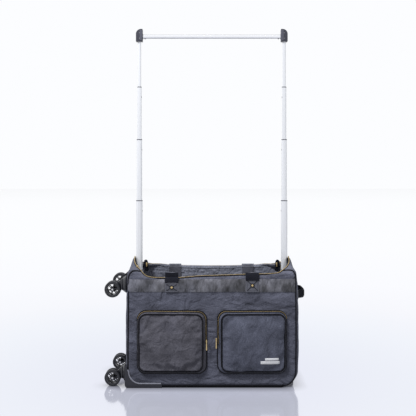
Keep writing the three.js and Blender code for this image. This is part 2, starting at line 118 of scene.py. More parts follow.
def spread(line: np.ndarray, count: int) -> np.ndarray:
    """That many points spread along a closed line."""
    at = np.linspace(0, len(line), count, endpoint=False)
    ends = np.append(line, line[:1], axis=0)
    return np.stack([np.interp(at, np.arange(len(ends)), column) for column in ends.T], axis=1)


def vertex_points(mesh: bpy.types.Mesh) -> np.ndarray:
    """The places of a mesh's vertices, one row for each."""
    flat = np.zeros(len(mesh.vertices) * 3)
    mesh.vertices.foreach_get("co", flat)
    return flat.reshape(-1, 3)


def place_object(name: str, data: bpy.types.ID) -> bpy.types.Object:
    """A new object in the scene."""
    made = bpy.data.objects.new(name, data)
    bpy.context.scene.collection.objects.link(made)
    return made


def add_node(
    tree: bpy.types.NodeTree, kind: str, inputs: dict[str | int, object] | None = None, **settings: object
) -> bpy.types.Node:
    """Adds a node to a tree.

    Args:
        tree: The tree.
        kind: The node's type.
        inputs: A socket to link or a constant to set, for each input by name or number.
        settings: The node's own properties.

    Returns:
        The node.
    """
    node = tree.nodes.new(kind)
    for name, value in settings.items():
        setattr(node, name, value)
    for key, value in (inputs or {}).items():
        if isinstance(value, bpy.types.NodeSocket):
            tree.links.new(value, node.inputs[key])
        else:
            node.inputs[key].default_value = value
    return node


def map_range(
    tree: bpy.types.NodeTree, source: bpy.types.NodeSocket, given: tuple[float, float], wanted: tuple[float, float]
) -> bpy.types.NodeSocket:
    """Maps one range of a field to another, and holds it at the ends."""
    ends = {"From Min": given[0], "From Max": given[1], "To Min": wanted[0], "To Max": wanted[1]}
    return add_node(tree, "ShaderNodeMapRange", {"Value": source, **ends}).outputs["Result"]


# --------------------------------------------------------------------------- finishes


class Grain(Enum):
    """Fine surface patterns."""

    TWILL = "twill"
    RIBBED = "ribbed"
    LEATHER = "leather"
    BRUSHED = "brushed"
    MOULDED = "moulded"


@dataclass(frozen=True)
class Finish:
    """One surface finish, made as a node material.

    The mottle is a slow change of tone across the piece, and the grain is a fine relief.
    """

    name: str
    slot: str
    colour: Colour
    roughness: float
    grain: Grain
    grain_size: float = 1.2
    grain_depth: float = 0.25
    mottle: float = 0.12
    mottle_size: Sequence[float] = (60.0, 60.0, 60.0)
    fleck: float = 0.06
    metallic: float = 0.0
    sheen: float = 0.0
    coat: float = 0.0
    specular: float = 0.5
    warm: float = 0.0
    crease: float = 0.0
    crease_size: Sequence[float] = (26.0, 26.0, 26.0)

    def build(self) -> bpy.types.Material:
        """Makes the material, or returns the one already made."""
        done = bpy.data.materials.get(self.name)
        if done:
            return done
        material = bpy.data.materials.new(self.name)
        material.use_nodes = True
        tree = material.node_tree
        shader = tree.nodes["Principled BSDF"]
        constants = {"Metallic": self.metallic, "Sheen Weight": self.sheen, "Sheen Roughness": 0.45,
                     "Coat Weight": self.coat, "Coat Roughness": 0.25, "Specular IOR Level": self.specular}
        for name, value in constants.items():
            shader.inputs[name].default_value = value
        where = add_node(tree, "ShaderNodeTexCoord").outputs["Object"]

        def noise_field(size: Sequence[float], detail: float, distortion: float = 0.0) -> bpy.types.NodeSocket:
            """Noise with ripples of that size in millimetres."""
            place = add_node(tree, "ShaderNodeMapping", {"Vector": where, "Scale": [1 / (s * MM) for s in size]})
            inputs = {"Vector": place.outputs["Vector"], "Scale": 1.0, "Detail": detail, "Distortion": distortion}
            return add_node(tree, "ShaderNodeTexNoise", inputs).outputs["Fac"]

        def multiplier(source: bpy.types.NodeSocket, change: float, edge: float) -> bpy.types.NodeSocket:
            """Turns a field into a multiplier round 1."""
            return map_range(tree, source, (0.5 - edge, 0.5 + edge), (1 - change, 1 + change))

        slow = multiplier(noise_field(self.mottle_size, 3.0), self.mottle, 0.2)
        fine = multiplier(noise_field((2.6, 2.6, 2.6), 2.0), self.fleck, 0.2)
        tone = add_node(tree, "ShaderNodeMath", {0: slow, 1: fine}, operation="MULTIPLY")
        colour = linear(self.colour)[:3]
        if self.warm:
            red, green, blue = self.colour
            warmed = linear((red * (1 + self.warm), green * (1 + self.warm / 2), blue * (1 - self.warm)))
            factor = multiplier(noise_field((90, 90, 90), 1.0), 1.0, 0.15)
            inputs = {"A": linear(self.colour), "B": warmed, "Factor": factor}
            colour = add_node(tree, "ShaderNodeMix", inputs, data_type="RGBA").outputs["Result"]
        tint = add_node(tree, "ShaderNodeVectorMath", {0: colour, "Scale": tone.outputs[0]}, operation="SCALE")
        tree.links.new(tint.outputs[0], shader.inputs["Base Color"])

        rough = (self.roughness * 0.88, min(1.0, self.roughness * 1.12))
        patches = map_range(tree, noise_field((14, 14, 14), 2.0), (0.3, 0.7), rough)
        tree.links.new(patches, shader.inputs["Roughness"])

        relief = {"Strength": self.grain_depth, "Distance": GRAIN_RELIEF, "Height": self._relief(tree, where)}
        bump = add_node(tree, "ShaderNodeBump", relief)
        if self.crease:
            creases = noise_field(self.crease_size, 2.5, 0.9)
            folds = add_node(tree, "ShaderNodeBump",
                             {"Strength": 1.0, "Distance": self.crease * MM, "Height": creases})
            tree.links.new(folds.outputs["Normal"], bump.inputs["Normal"])
        tree.links.new(bump.outputs["Normal"], shader.inputs["Normal"])
        return material

    def _relief(self, tree: bpy.types.NodeTree, where: bpy.types.NodeSocket) -> bpy.types.NodeSocket:
        """Height field of the grain, read at the given coordinates."""
        size = (0.4, 0.4, 40) if self.grain is Grain.BRUSHED else (self.grain_size,) * 3
        mapping = add_node(tree, "ShaderNodeMapping", {"Vector": where, "Scale": [1 / (s * MM) for s in size]})
        place = mapping.outputs["Vector"]
        if self.grain in (Grain.TWILL, Grain.RIBBED):
            twill = self.grain is Grain.TWILL
            waves = ((0.6, "DIAGONAL" if twill else "Z"), (0.8, "X" if twill else "DIAGONAL"))
            bands = [add_node(tree, "ShaderNodeTexWave", {"Vector": place, "Scale": 0.32, "Distortion": distortion},
                              bands_direction=direction).outputs["Fac"] for distortion, direction in waves]
            both = add_node(tree, "ShaderNodeMath", {0: bands[0], 1: bands[1]},
                            operation="ADD" if twill else "MULTIPLY")
            return both.outputs[0]
        if self.grain is Grain.LEATHER:
            return add_node(tree, "ShaderNodeTexVoronoi", {"Vector": place}, feature="SMOOTH_F1").outputs["Distance"]
        return add_node(tree, "ShaderNodeTexNoise", {"Vector": place, "Scale": 1.0, "Detail": 3.0}).outputs["Fac"]


NYLON = Finish("charcoal_nylon", "nylon", (84, 86, 99), 0.8, Grain.TWILL, sheen=0.06,
               mottle=0.34, mottle_size=(70, 70, 34), fleck=0.26, specular=0.12, crease=11.0, crease_size=(46, 46, 30))
POCKET_NYLON = Finish("pocket_face_nylon", "pocket_nylon", (82, 85, 99), 0.8, Grain.TWILL, sheen=0.06,
                      mottle=0.26, mottle_size=(34, 30, 70), fleck=0.24, specular=0.15, crease=6.5,
                      crease_size=(26, 26, 44))
WORN_NYLON = Finish("worn_pocket_nylon", "pocket_nylon", (83, 83, 93), 0.8, Grain.TWILL, sheen=0.05,
                    mottle=0.26, mottle_size=(38, 38, 38), fleck=0.22, specular=0.15, warm=0.012, crease=6.0)
COATED_BAND = Finish("coated_band", "strap", (84, 85, 94), 0.45, Grain.LEATHER, 1.1, 0.3,
                     mottle=0.95, mottle_size=(24, 60, 48), fleck=0.1, specular=0.5, warm=0.015,
                     crease=9.0, crease_size=(17, 30, 44))
STRAP = Finish("coated_strap", "strap", (84, 85, 95), 0.5, Grain.LEATHER, 1.1, 0.3,
               mottle=0.16, mottle_size=(14, 20, 20), specular=0.5)
# Near-black and dull: partly the bottom binding, partly a painted contact shadow under the case.
BASE_CORD_AND_SHADOW = Finish("black_base_cord", "piping", (9, 9, 13), 0.85, Grain.MOULDED, 0.8, 0.15, mottle=0.1, specular=0.15)
WEBBING = Finish("black_webbing", "webbing", (26, 27, 34), 0.75, Grain.RIBBED, 1.6, 0.6, mottle=0.12, specular=0.12)
PIPING = Finish("black_piping", "piping", (12, 12, 18), 0.6, Grain.MOULDED, 0.8, 0.15, mottle=0.1, specular=0.2)
LINING = Finish("grey_lining", "lining", (118, 121, 134), 0.62, Grain.TWILL, 0.9, 0.2,
                mottle=0.2, mottle_size=(24, 60, 20), fleck=0.08, specular=0.3, crease=6.0, crease_size=(16, 30, 16))
BOARD = Finish("covered_board", "board", (48, 49, 56), 0.8, Grain.TWILL, 1.4, 0.4)
SKID = Finish("moulded_skid", "skid", (34, 35, 43), 0.34, Grain.MOULDED, 0.9, 0.12, mottle=0.08, specular=0.4)
# Much lighter than the skid: a painted highlight along the rim bead.
SKID_RIM_HIGHLIGHT = Finish("skid_rim_painted_highlight", "skid", (122, 124, 136), 0.3, Grain.MOULDED, 0.9, 0.1, mottle=0.08, specular=0.6)
RUBBER = Finish("foot_rubber", "foot_rubber", (36, 37, 44), 0.7, Grain.MOULDED, 0.7, 0.3)
ZIP_METAL = Finish("pale_gold_zip", "zip_metal", (192, 170, 124), 0.34, Grain.MOULDED, 1.5, 0.08,
                   mottle=0.1, metallic=0.7)
RAIL_METAL = Finish("anodised_rail", "rail_metal", (224, 226, 231), 0.36, Grain.BRUSHED, 0.4, 0.03,
                    mottle=0.06, mottle_size=(2.6, 2.6, 400), fleck=0.0, metallic=0.4, specular=0.3)
BAR_METAL = Finish("polished_bar", "rail_metal", (238, 239, 243), 0.2, Grain.MOULDED, 0.5, 0.03,
                   mottle=0.03, mottle_size=(300, 3, 3), fleck=0.0, metallic=0.85)
TROLLEY_METAL = Finish("anodised_pull_tube", "trolley_metal", (180, 181, 186), 0.34, Grain.MOULDED, 0.5, 0.05,
                       mottle=0.05, metallic=0.9)
LOCK_METAL = Finish("lock_pin_steel", "lock_metal", (150, 150, 154), 0.35, Grain.MOULDED, 0.6, 0.05, metallic=0.8)
AXLE_STEEL = Finish("axle_steel", "axle_steel", (205, 206, 210), 0.25, Grain.MOULDED, 0.6, 0.05, metallic=1.0)
CAP_PLASTIC = Finish("cap_moulding", "cap_plastic", (50, 51, 61), 0.42, Grain.MOULDED, 0.8, 0.12)
# Lighter than the cap: painted light standing for the lit inner side of each cap.
CAP_PAINTED_LIGHT = Finish("cap_painted_light_moulding", "cap_plastic", (74, 75, 86), 0.42, Grain.MOULDED, 0.8, 0.12)
COLLAR_PLASTIC = Finish("collar_moulding", "cap_plastic", (70, 71, 80), 0.5, Grain.MOULDED, 0.8, 0.1)
CASTER_PLASTIC = Finish("black_moulding", "caster_plastic", (22, 23, 30), 0.3, Grain.MOULDED, 0.9, 0.12,
                        mottle=0.08, specular=0.6)
TYRE = Finish("black_tyre", "wheel_tyre", (24, 25, 31), 0.5, Grain.MOULDED, 0.8, 0.25, mottle=0.1)
LABEL = Finish("woven_label", "label", (226, 227, 232), 0.7, Grain.RIBBED, 0.9, 0.3, mottle=0.05)


# --------------------------------------------------------------------------- layout and shapes


@dataclass(frozen=True)
class Layout:
    """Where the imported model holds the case, and the turn from millimetres to metres."""

    middle_x: float
    middle_y: float
    half_length: float
    half_depth: float
    lip: float
    peak: float
    pole: float

    @classmethod
    def from_frame(cls) -> "Layout":
        """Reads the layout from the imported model's boxes."""
        wheel_low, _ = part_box("wheel_end_panel")
        _, grip_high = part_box("grip_end_panel")
        front_low, front_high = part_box("front_panel")
        _, back_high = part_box("back_panel")
        pole_low, pole_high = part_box("rail_sleeve_right")
        middle = (wheel_low.x + grip_high.x) / 2
        return cls(
            middle_x=middle,
            middle_y=(front_low.y + back_high.y) / 2,
            half_length=(grip_high.x - wheel_low.x) / 2 / MM,
            half_depth=(back_high.y - front_low.y) / 2 / MM,
            lip=front_high.z / MM,
            peak=grip_high.z / MM,
            pole=((pole_low.x + pole_high.x) / 2 - middle) / MM,
        )

    def place(self, points: np.ndarray) -> np.ndarray:
        """Millimetres from the middle of the body to metres in the model's frame."""
        return np.asarray(points, float) * MM + np.array([self.middle_x, self.middle_y, 0.0])

    def local(self, points: Vector | np.ndarray) -> np.ndarray:
        """Metres in the model's frame to millimetres from the middle of the body."""
        return (np.array(points) - np.array([self.middle_x, self.middle_y, 0.0])) / MM

    def box(self, node: str) -> tuple[np.ndarray, np.ndarray]:
        """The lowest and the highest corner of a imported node, in millimetres."""
        low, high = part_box(node)
        return self.local(low), self.local(high)


@dataclass
class Shape:
    """Points in millimetres and the faces between them."""

    points: np.ndarray
    faces: list[tuple[int, ...]]

    @staticmethod
    def joined(*shapes: "Shape") -> "Shape":
        """One shape from several."""
        faces: list[tuple[int, ...]] = []
        start = 0
        for shape in shapes:
            faces += [tuple(i + start for i in face) for face in shape.faces]
            start += len(shape.points)
        return Shape(np.concatenate([s.points for s in shapes]), faces)


def grid(points: np.ndarray, wrap_first: bool = False, wrap_second: bool = False) -> Shape:
    """Quads over a grid of points."""
    rows, columns = points.shape[:2]
    faces = []
    for i in range(rows if wrap_first else rows - 1):
        for j in range(columns if wrap_second else columns - 1):
            k, l = (i + 1) % rows, (j + 1) % columns
            faces.append((i * columns + j, k * columns + j, k * columns + l, i * columns + l))
    return Shape(points.reshape(-1, 3), faces)


def slab(front: np.ndarray, back: np.ndarray, round_case: bool = False) -> Shape:
    """A closed body between two grids that share their rows and columns.

    Args:
        front: The outer grid.
        back: The inner grid.
        round_case: Whether the rows run all the way round the case.

    Returns:
        The closed body.
    """
    loop = np.concatenate([front, back[:, ::-1]], axis=1)
    shape = grid(loop, wrap_first=round_case, wrap_second=not round_case)
    rows, columns = loop.shape[:2]
    if round_case:
        shape.faces.append(tuple(i * columns for i in reversed(range(rows))))
        shape.faces.append(tuple(i * columns + columns - 1 for i in range(rows)))
    else:
        shape.faces.append(tuple(range(columns)))
        shape.faces.append(tuple(reversed(range((rows - 1) * columns, rows * columns))))
    return shape


def sweep(path: Path, sections: np.ndarray, facing: np.ndarray | None = None, closed: bool = False) -> Shape:
    """Carries a closed section along a path.

    Args:
        path: The path's points.
        sections: One section of (across, out) pairs, or one for each path point.
        facing: Which way each point's "out" looks. Left out, the frame turns as little as it can.
        closed: Whether the path comes back to its start.

    Returns:
        The swept shape, with its ends filled where the path is open.
    """
    path = np.asarray(path, float)
    count = len(path)
    if closed:
        tangent = np.roll(path, -1, 0) - np.roll(path, 1, 0)
    else:
        tangent = np.gradient(path, axis=0)
    tangent = unit(tangent)
    if facing is None:
        start = np.array([0.0, 0.0, 1.0]) if abs(tangent[0, 2]) < 0.9 else np.array([1.0, 0.0, 0.0])
        rows = []
        for t in tangent:
            start = start - t * (start @ t)
            start = start / np.linalg.norm(start)
            rows.append(start)
        out = np.array(rows)
    else:
        out = np.broadcast_to(np.asarray(facing, float), path.shape).copy()
        out -= tangent * np.sum(out * tangent, axis=1, keepdims=True)
        out = unit(out)
    across = np.cross(tangent, out)
    sections = np.asarray(sections, float)
    if sections.ndim == 2:
        sections = np.broadcast_to(sections, (count, *sections.shape))
    points = path[:, None] + sections[..., :1] * across[:, None] + sections[..., 1:] * out[:, None]
    shape = grid(points, wrap_first=closed, wrap_second=True)
    if not closed:
        sides = sections.shape[1]
        shape.faces.append(tuple(range(sides)))
        shape.faces.append(tuple(reversed(range((count - 1) * sides, count * sides))))
    return shape


def taper(section: np.ndarray, widths: Sequence[float], depths: Sequence[float] | float = 1.0) -> np.ndarray:
    """One section for each path point, made wider and deeper by those shares."""
    shares = np.stack(np.broadcast_arrays(np.asarray(widths, float), depths), axis=1)
    return section[None] * shares[:, None, :]


def ring_section(radius: float, sides: int = 10) -> np.ndarray:
    """A round section."""
    angle = np.linspace(0, 2 * math.pi, sides, endpoint=False)
    return np.stack([radius * np.cos(angle), radius * np.sin(angle)], axis=1)


def flat_section(width: float, thickness: float, crown: float = 0.0, steps: int = 10) -> np.ndarray:
    """A strap's section: soft edges, and a middle that stands up by the crown."""
    across = np.linspace(-1, 1, steps + 1)
    bend = 1 - np.abs(across) ** 3
    half = thickness / 2 * np.sqrt(np.clip(1 - np.abs(across) ** 8, 0.08, 1))
    top = np.stack([across * width / 2, half + crown * bend], axis=1)
    bottom = np.stack([across[::-1] * width / 2, (-half + crown * bend)[::-1]], axis=1)
    return np.concatenate([top, bottom])


def rounded_outline(width: float, height: float, radius: float, step: float = 4.0) -> np.ndarray:
    """Evenly spaced points on a rectangle with round corners, from the middle of its foot."""
    arc = radius * math.pi / 2
    corners = [
        (width / 2 - radius, -height / 2 + radius, -90),
        (width / 2 - radius, height / 2 - radius, 0),
        (-width / 2 + radius, height / 2 - radius, 90),
        (-width / 2 + radius, -height / 2 + radius, 180),
    ]
    dense = [(0.0, -height / 2)]
    for u, v, start in corners:
        for k in range(13):
            angle = math.radians(start + 90 * k / 12)
            dense.append((u + radius * math.cos(angle), v + radius * math.sin(angle)))
    dense.append((0.0, -height / 2))
    line = np.array(dense)
    length = np.concatenate([[0], np.cumsum(np.linalg.norm(np.diff(line, axis=0), axis=1))])
    total = 2 * (width + height - 4 * radius) + 4 * arc
    count = max(16, int(round(total / step)))
    at = np.linspace(0, length[-1], count, endpoint=False)
    return np.stack([np.interp(at, length, line[:, 0]), np.interp(at, length, line[:, 1])], axis=1)


def revolve(
    profile: Sequence[tuple[float, float]], axis: str, centre: Sequence[float], sides: int = 48, way: float = 1.0
) -> Shape:
    """Turns a closed profile of (radius, along) pairs about an axis.

    Args:
        profile: The profile's corners.
        axis: "x", "y" or "z".
        centre: A point on the axis, where along is 0.
        sides: How many steps make the turn.
        way: 1 where along runs up the axis, and -1 where it runs down.

    Returns:
        The turned shape.
    """
    angle = np.linspace(0, 2 * math.pi, sides, endpoint=False)[:, None]
    radius, along = np.array(profile, float).T
    across, upward = np.cos(angle) * radius, np.sin(angle) * radius
    level = np.broadcast_to(along * way, across.shape)
    places = {"x": (level, across, upward), "y": (across, level, upward), "z": (across, upward, level)}[axis]
    shape = grid(np.stack(places, axis=-1), wrap_first=True, wrap_second=True)
    return Shape(shape.points + np.array(centre, float), shape.faces)


def plate(outline: np.ndarray, axis: str, low: float, high: float) -> Shape:
    """A flat plate of any outline, square to an axis."""
    count = len(outline)
    points = []
    for level in (low, high):
        for u, v in outline:
            points.append({"x": (level, u, v), "y": (u, level, v), "z": (u, v, level)}[axis])
    faces: list[tuple[int, ...]] = [tuple(range(count)), tuple(reversed(range(count, 2 * count)))]
    faces += [(i, (i + 1) % count, (i + 1) % count + count, i + count) for i in range(count)]
    return Shape(np.array(points, float), faces)


# --------------------------------------------------------------------------- making pieces


@dataclass
class SubAssembly:
    """A group of pieces that share the layout."""

    layout: Layout
    made: list[bpy.types.Object] = field(default_factory=list, kw_only=True)

    def add(
        self,
        name: str,
        shape: Shape,
        finish: Finish,
        body: str = "case",
        replaces: Sequence[str] = (),
        bevel: float = 0.0,
        rounding: int = 0,
        opening: Shape | None = None,
    ) -> bpy.types.Object:
        """Makes a piece from a shape and hangs it on a body.

        Args:
            name: The piece's name.
            shape: Its shape in millimetres.
            finish: Its finish.
            body: The body it moves with.
            replaces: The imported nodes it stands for.
            bevel: How wide its sharp edges are broken, in millimetres.
            rounding: How many times the surface is subdivided.
            opening: A solid to cut out of it.

        Returns:
            The piece.
        """
        return self.add_mesh(name, self.mesh(name, shape), finish, body, replaces, bevel, rounding, opening)

    def mesh(self, name: str, shape: Shape, edges: Sequence[tuple[int, int]] = ()) -> bpy.types.Mesh:
        """A mesh in metres from a shape in millimetres."""
        mesh = bpy.data.meshes.new(name)
        mesh.from_pydata(self.layout.place(shape.points).tolist(), edges, shape.faces)
        return mesh

    def add_mesh(
        self,
        name: str,
        mesh: bpy.types.Mesh,
        finish: Finish,
        body: str,
        replaces: Sequence[str] = (),
        bevel: float = 0.0,
        rounding: int = 0,
        opening: Shape | None = None,
    ) -> bpy.types.Object:
        """Finishes a mesh in metres as a piece. The arguments are those of add."""
        work = bmesh.new()
        work.from_mesh(mesh)
        bmesh.ops.remove_doubles(work, verts=work.verts, dist=FUSE)
        bmesh.ops.recalc_face_normals(work, faces=work.faces)
        work.to_mesh(mesh)
        work.free()
        piece = place_object(name, mesh)
        if opening:
            tool = place_object("opening", self.mesh("opening", opening))
            cut = piece.modifiers.new("cut", "BOOLEAN")
            cut.object = tool
            cut.operation = "DIFFERENCE"
            cut.solver = "EXACT"
            cut.use_self = True
            bake_modifiers(piece)
            bpy.data.objects.remove(tool)
        if bevel:
            edge = piece.modifiers.new("bevel", "BEVEL")
            edge.width = bevel * MM
            edge.segments = 3
            edge.limit_method = "ANGLE"
            edge.angle_limit = math.radians(35)
        if rounding:
            subdivide(piece, rounding)
        if bevel or rounding:
            bake_modifiers(piece)
        piece.data.shade_smooth()
        if not rounding:
            piece.data.set_sharp_from_angle(angle=math.radians(40))
        return self.settle(piece, finish, body, replaces)

    def settle(
        self, piece: bpy.types.Object, finish: Finish, body: str, replaces: Sequence[str] = ()
    ) -> bpy.types.Object:
        """Dresses a finished mesh object and ties it to the frame."""
        piece.data.materials.clear()
        piece.data.materials.append(finish.build())
        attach(piece, body)
        if replaces:
            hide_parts(*replaces)
        self.made.append(piece)
        LOG.info("%s on %s: %d faces", piece.name, body, len(piece.data.polygons))
        return piece

    def refine(
        self, node: str, finish: Finish, body: str, bevel: float, name: str | None = None
    ) -> bpy.types.Object:
        """Stands a soft-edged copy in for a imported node."""
        source = bpy.data.objects[node].data.copy()
        work = bmesh.new()
        work.from_mesh(source)
        bmesh.ops.remove_doubles(work, verts=work.verts, dist=1e-5)
        bmesh.ops.dissolve_limit(work, angle_limit=math.radians(2), verts=work.verts, edges=work.edges)
        work.to_mesh(source)
        work.free()
        return self.add_mesh(name or f"{node}_moulding", source, finish, body, [node], bevel)

    def repeat(
        self,
        name: str,
        path: Path,
        facing: np.ndarray,
        finish: Finish,
        repeat: "Repeat",
        body: str = "case",
        closed: bool = False,
    ) -> bpy.types.Object:
        """Sets small bodies along a path.

        Args:
            name: The piece's name.
            path: The path in millimetres.
            facing: Which way the bodies' tops look, for each path point or for all.
            finish: Their finish.
            repeat: Their sizes and spacing.
            body: The body they move with.
            closed: Whether the path comes back to its start.

        Returns:
            The piece, as a plain mesh.
        """
        count = len(path)
        edges = [(i, i + 1) for i in range(count - 1)] + ([(count - 1, 0)] if closed else [])
        mesh = self.mesh(name, Shape(path, []), edges)
        attribute = mesh.attributes.new("facing", "FLOAT_VECTOR", "POINT")
        vectors = np.broadcast_to(np.asarray(facing, float), (count, 3)).astype(np.float32)
        attribute.data.foreach_set("vector", np.ascontiguousarray(vectors).ravel())
        piece = place_object(name, mesh)
        repeat.apply(piece, finish.build())
        piece.data.shade_smooth()
        return self.settle(piece, finish, body)


def subdivide(piece: bpy.types.Object, levels: int) -> None:
    """Adds a subdivision modifier."""
    soft = piece.modifiers.new("soft", "SUBSURF")
    soft.levels = soft.render_levels = levels


def bake_modifiers(piece: bpy.types.Object) -> None:
    """Turns an object's modifiers into its plain mesh."""
    graph = bpy.context.evaluated_depsgraph_get()
    baked = bpy.data.meshes.new_from_object(piece.evaluated_get(graph))
    piece.modifiers.clear()
    piece.data = baked


class Bead(Enum):
    """What is set along a path."""

    BLOCK = 0
    ROUND = 1


@dataclass(frozen=True)
class Repeat:
    """Small bodies set along a path by geometry nodes, sizes in millimetres."""

    spacing: float
    along: float
    across: float
    tall: float
    bead: Bead = Bead.BLOCK
    stagger: float = 0.0

    def apply(self, piece: bpy.types.Object, material: bpy.types.Material) -> None:
        """Runs the tree on a path object and leaves a plain mesh."""
        tree = self._tree()
        modifier = piece.modifiers.new("repeat", "NODES")
        modifier.node_group = tree
        values = {
            "Spacing": self.spacing * MM,
            "Size": (self.along * MM, self.across * MM, self.tall * MM),
            "Round": self.bead is Bead.ROUND,
            "Stagger": self.stagger * MM,
            "Material": material,
        }
        for item in tree.interface.items_tree:
            if item.name in values:
                modifier[item.identifier] = values[item.name]
        bake_modifiers(piece)

    @staticmethod
    def _tree() -> bpy.types.NodeTree:
        """Builds the tree once and hands it out again after that."""
        tree = bpy.data.node_groups.get("set_along_path")
        if tree:
            return tree
        tree = bpy.data.node_groups.new("set_along_path", "GeometryNodeTree")
        face = tree.interface
        face.new_socket("Geometry", in_out="INPUT", socket_type="NodeSocketGeometry")
        for name, kind in (("Spacing", "Float"), ("Size", "Vector"), ("Round", "Bool"),
                           ("Stagger", "Float"), ("Material", "Material")):
            face.new_socket(name, in_out="INPUT", socket_type=f"NodeSocket{kind}")
        face.new_socket("Geometry", in_out="OUTPUT", socket_type="NodeSocketGeometry")

        def add(kind: str, inputs: dict[str | int, object] | None = None, **settings: object) -> bpy.types.Node:
            """Adds a node to this tree."""
            return add_node(tree, kind, inputs, **settings)

        given, result = add("NodeGroupInput").outputs, add("NodeGroupOutput")
        curve = add("GeometryNodeMeshToCurve", {"Mesh": given["Geometry"]})
        even = add("GeometryNodeResampleCurve", {"Curve": curve.outputs["Curve"], "Length": given["Spacing"]},
                   mode="LENGTH")
        facing = add("GeometryNodeInputNamedAttribute", {"Name": "facing"}, data_type="FLOAT_VECTOR")
        top = facing.outputs["Attribute"]
        tangent = add("GeometryNodeInputTangent").outputs["Tangent"]
        along = add("FunctionNodeAlignRotationToVector", {"Vector": tangent}, axis="X")
        upright = add("FunctionNodeAlignRotationToVector", {"Rotation": along.outputs["Rotation"], "Vector": top},
                      axis="Z", pivot_axis="X")

        sideways = add("ShaderNodeVectorMath", {0: tangent, 1: top}, operation="CROSS_PRODUCT")
        index = add("GeometryNodeInputIndex").outputs["Index"]
        odd = add("ShaderNodeMath", {0: index, 1: 2.0}, operation="MODULO")
        centred = add("ShaderNodeMath", {0: odd.outputs[0], 1: 0.5}, operation="SUBTRACT")
        step = add("ShaderNodeMath", {0: centred.outputs[0], 1: given["Stagger"]}, operation="MULTIPLY")
        shift = add("ShaderNodeVectorMath", {0: sideways.outputs[0], "Scale": step.outputs[0]}, operation="SCALE")
        offset = add("GeometryNodeSetPosition", {"Geometry": even.outputs["Curve"], "Offset": shift.outputs[0]})

        block = add("GeometryNodeMeshCube", {"Size": (1, 1, 1)}).outputs["Mesh"]
        ball = add("GeometryNodeMeshUVSphere", {"Segments": 8, "Rings": 5, "Radius": 0.5}).outputs["Mesh"]
        choice = add("GeometryNodeSwitch", {"Switch": given["Round"], "False": block, "True": ball},
                     input_type="GEOMETRY")
        bodies = add("GeometryNodeInstanceOnPoints",
                     {"Points": offset.outputs["Geometry"], "Instance": choice.outputs["Output"],
                      "Rotation": upright.outputs["Rotation"], "Scale": given["Size"]})
        real = add("GeometryNodeRealizeInstances", {"Geometry": bodies.outputs["Instances"]})
        dress = add("GeometryNodeSetMaterial",
                    {"Geometry": real.outputs["Geometry"], "Material": given["Material"]})
        tree.links.new(dress.outputs["Geometry"], result.inputs["Geometry"])
        return tree


ZIP_TEETH = Repeat(spacing=2.1, along=1.3, across=1.9, tall=1.5, stagger=0.5)
FINE_TEETH = Repeat(spacing=1.9, along=1.2, across=1.4, tall=0.8, stagger=0.35)
STITCH = Repeat(spacing=3.0, along=2.2, across=0.7, tall=0.5, bead=Bead.ROUND)


# --------------------------------------------------------------------------- the bag's skin


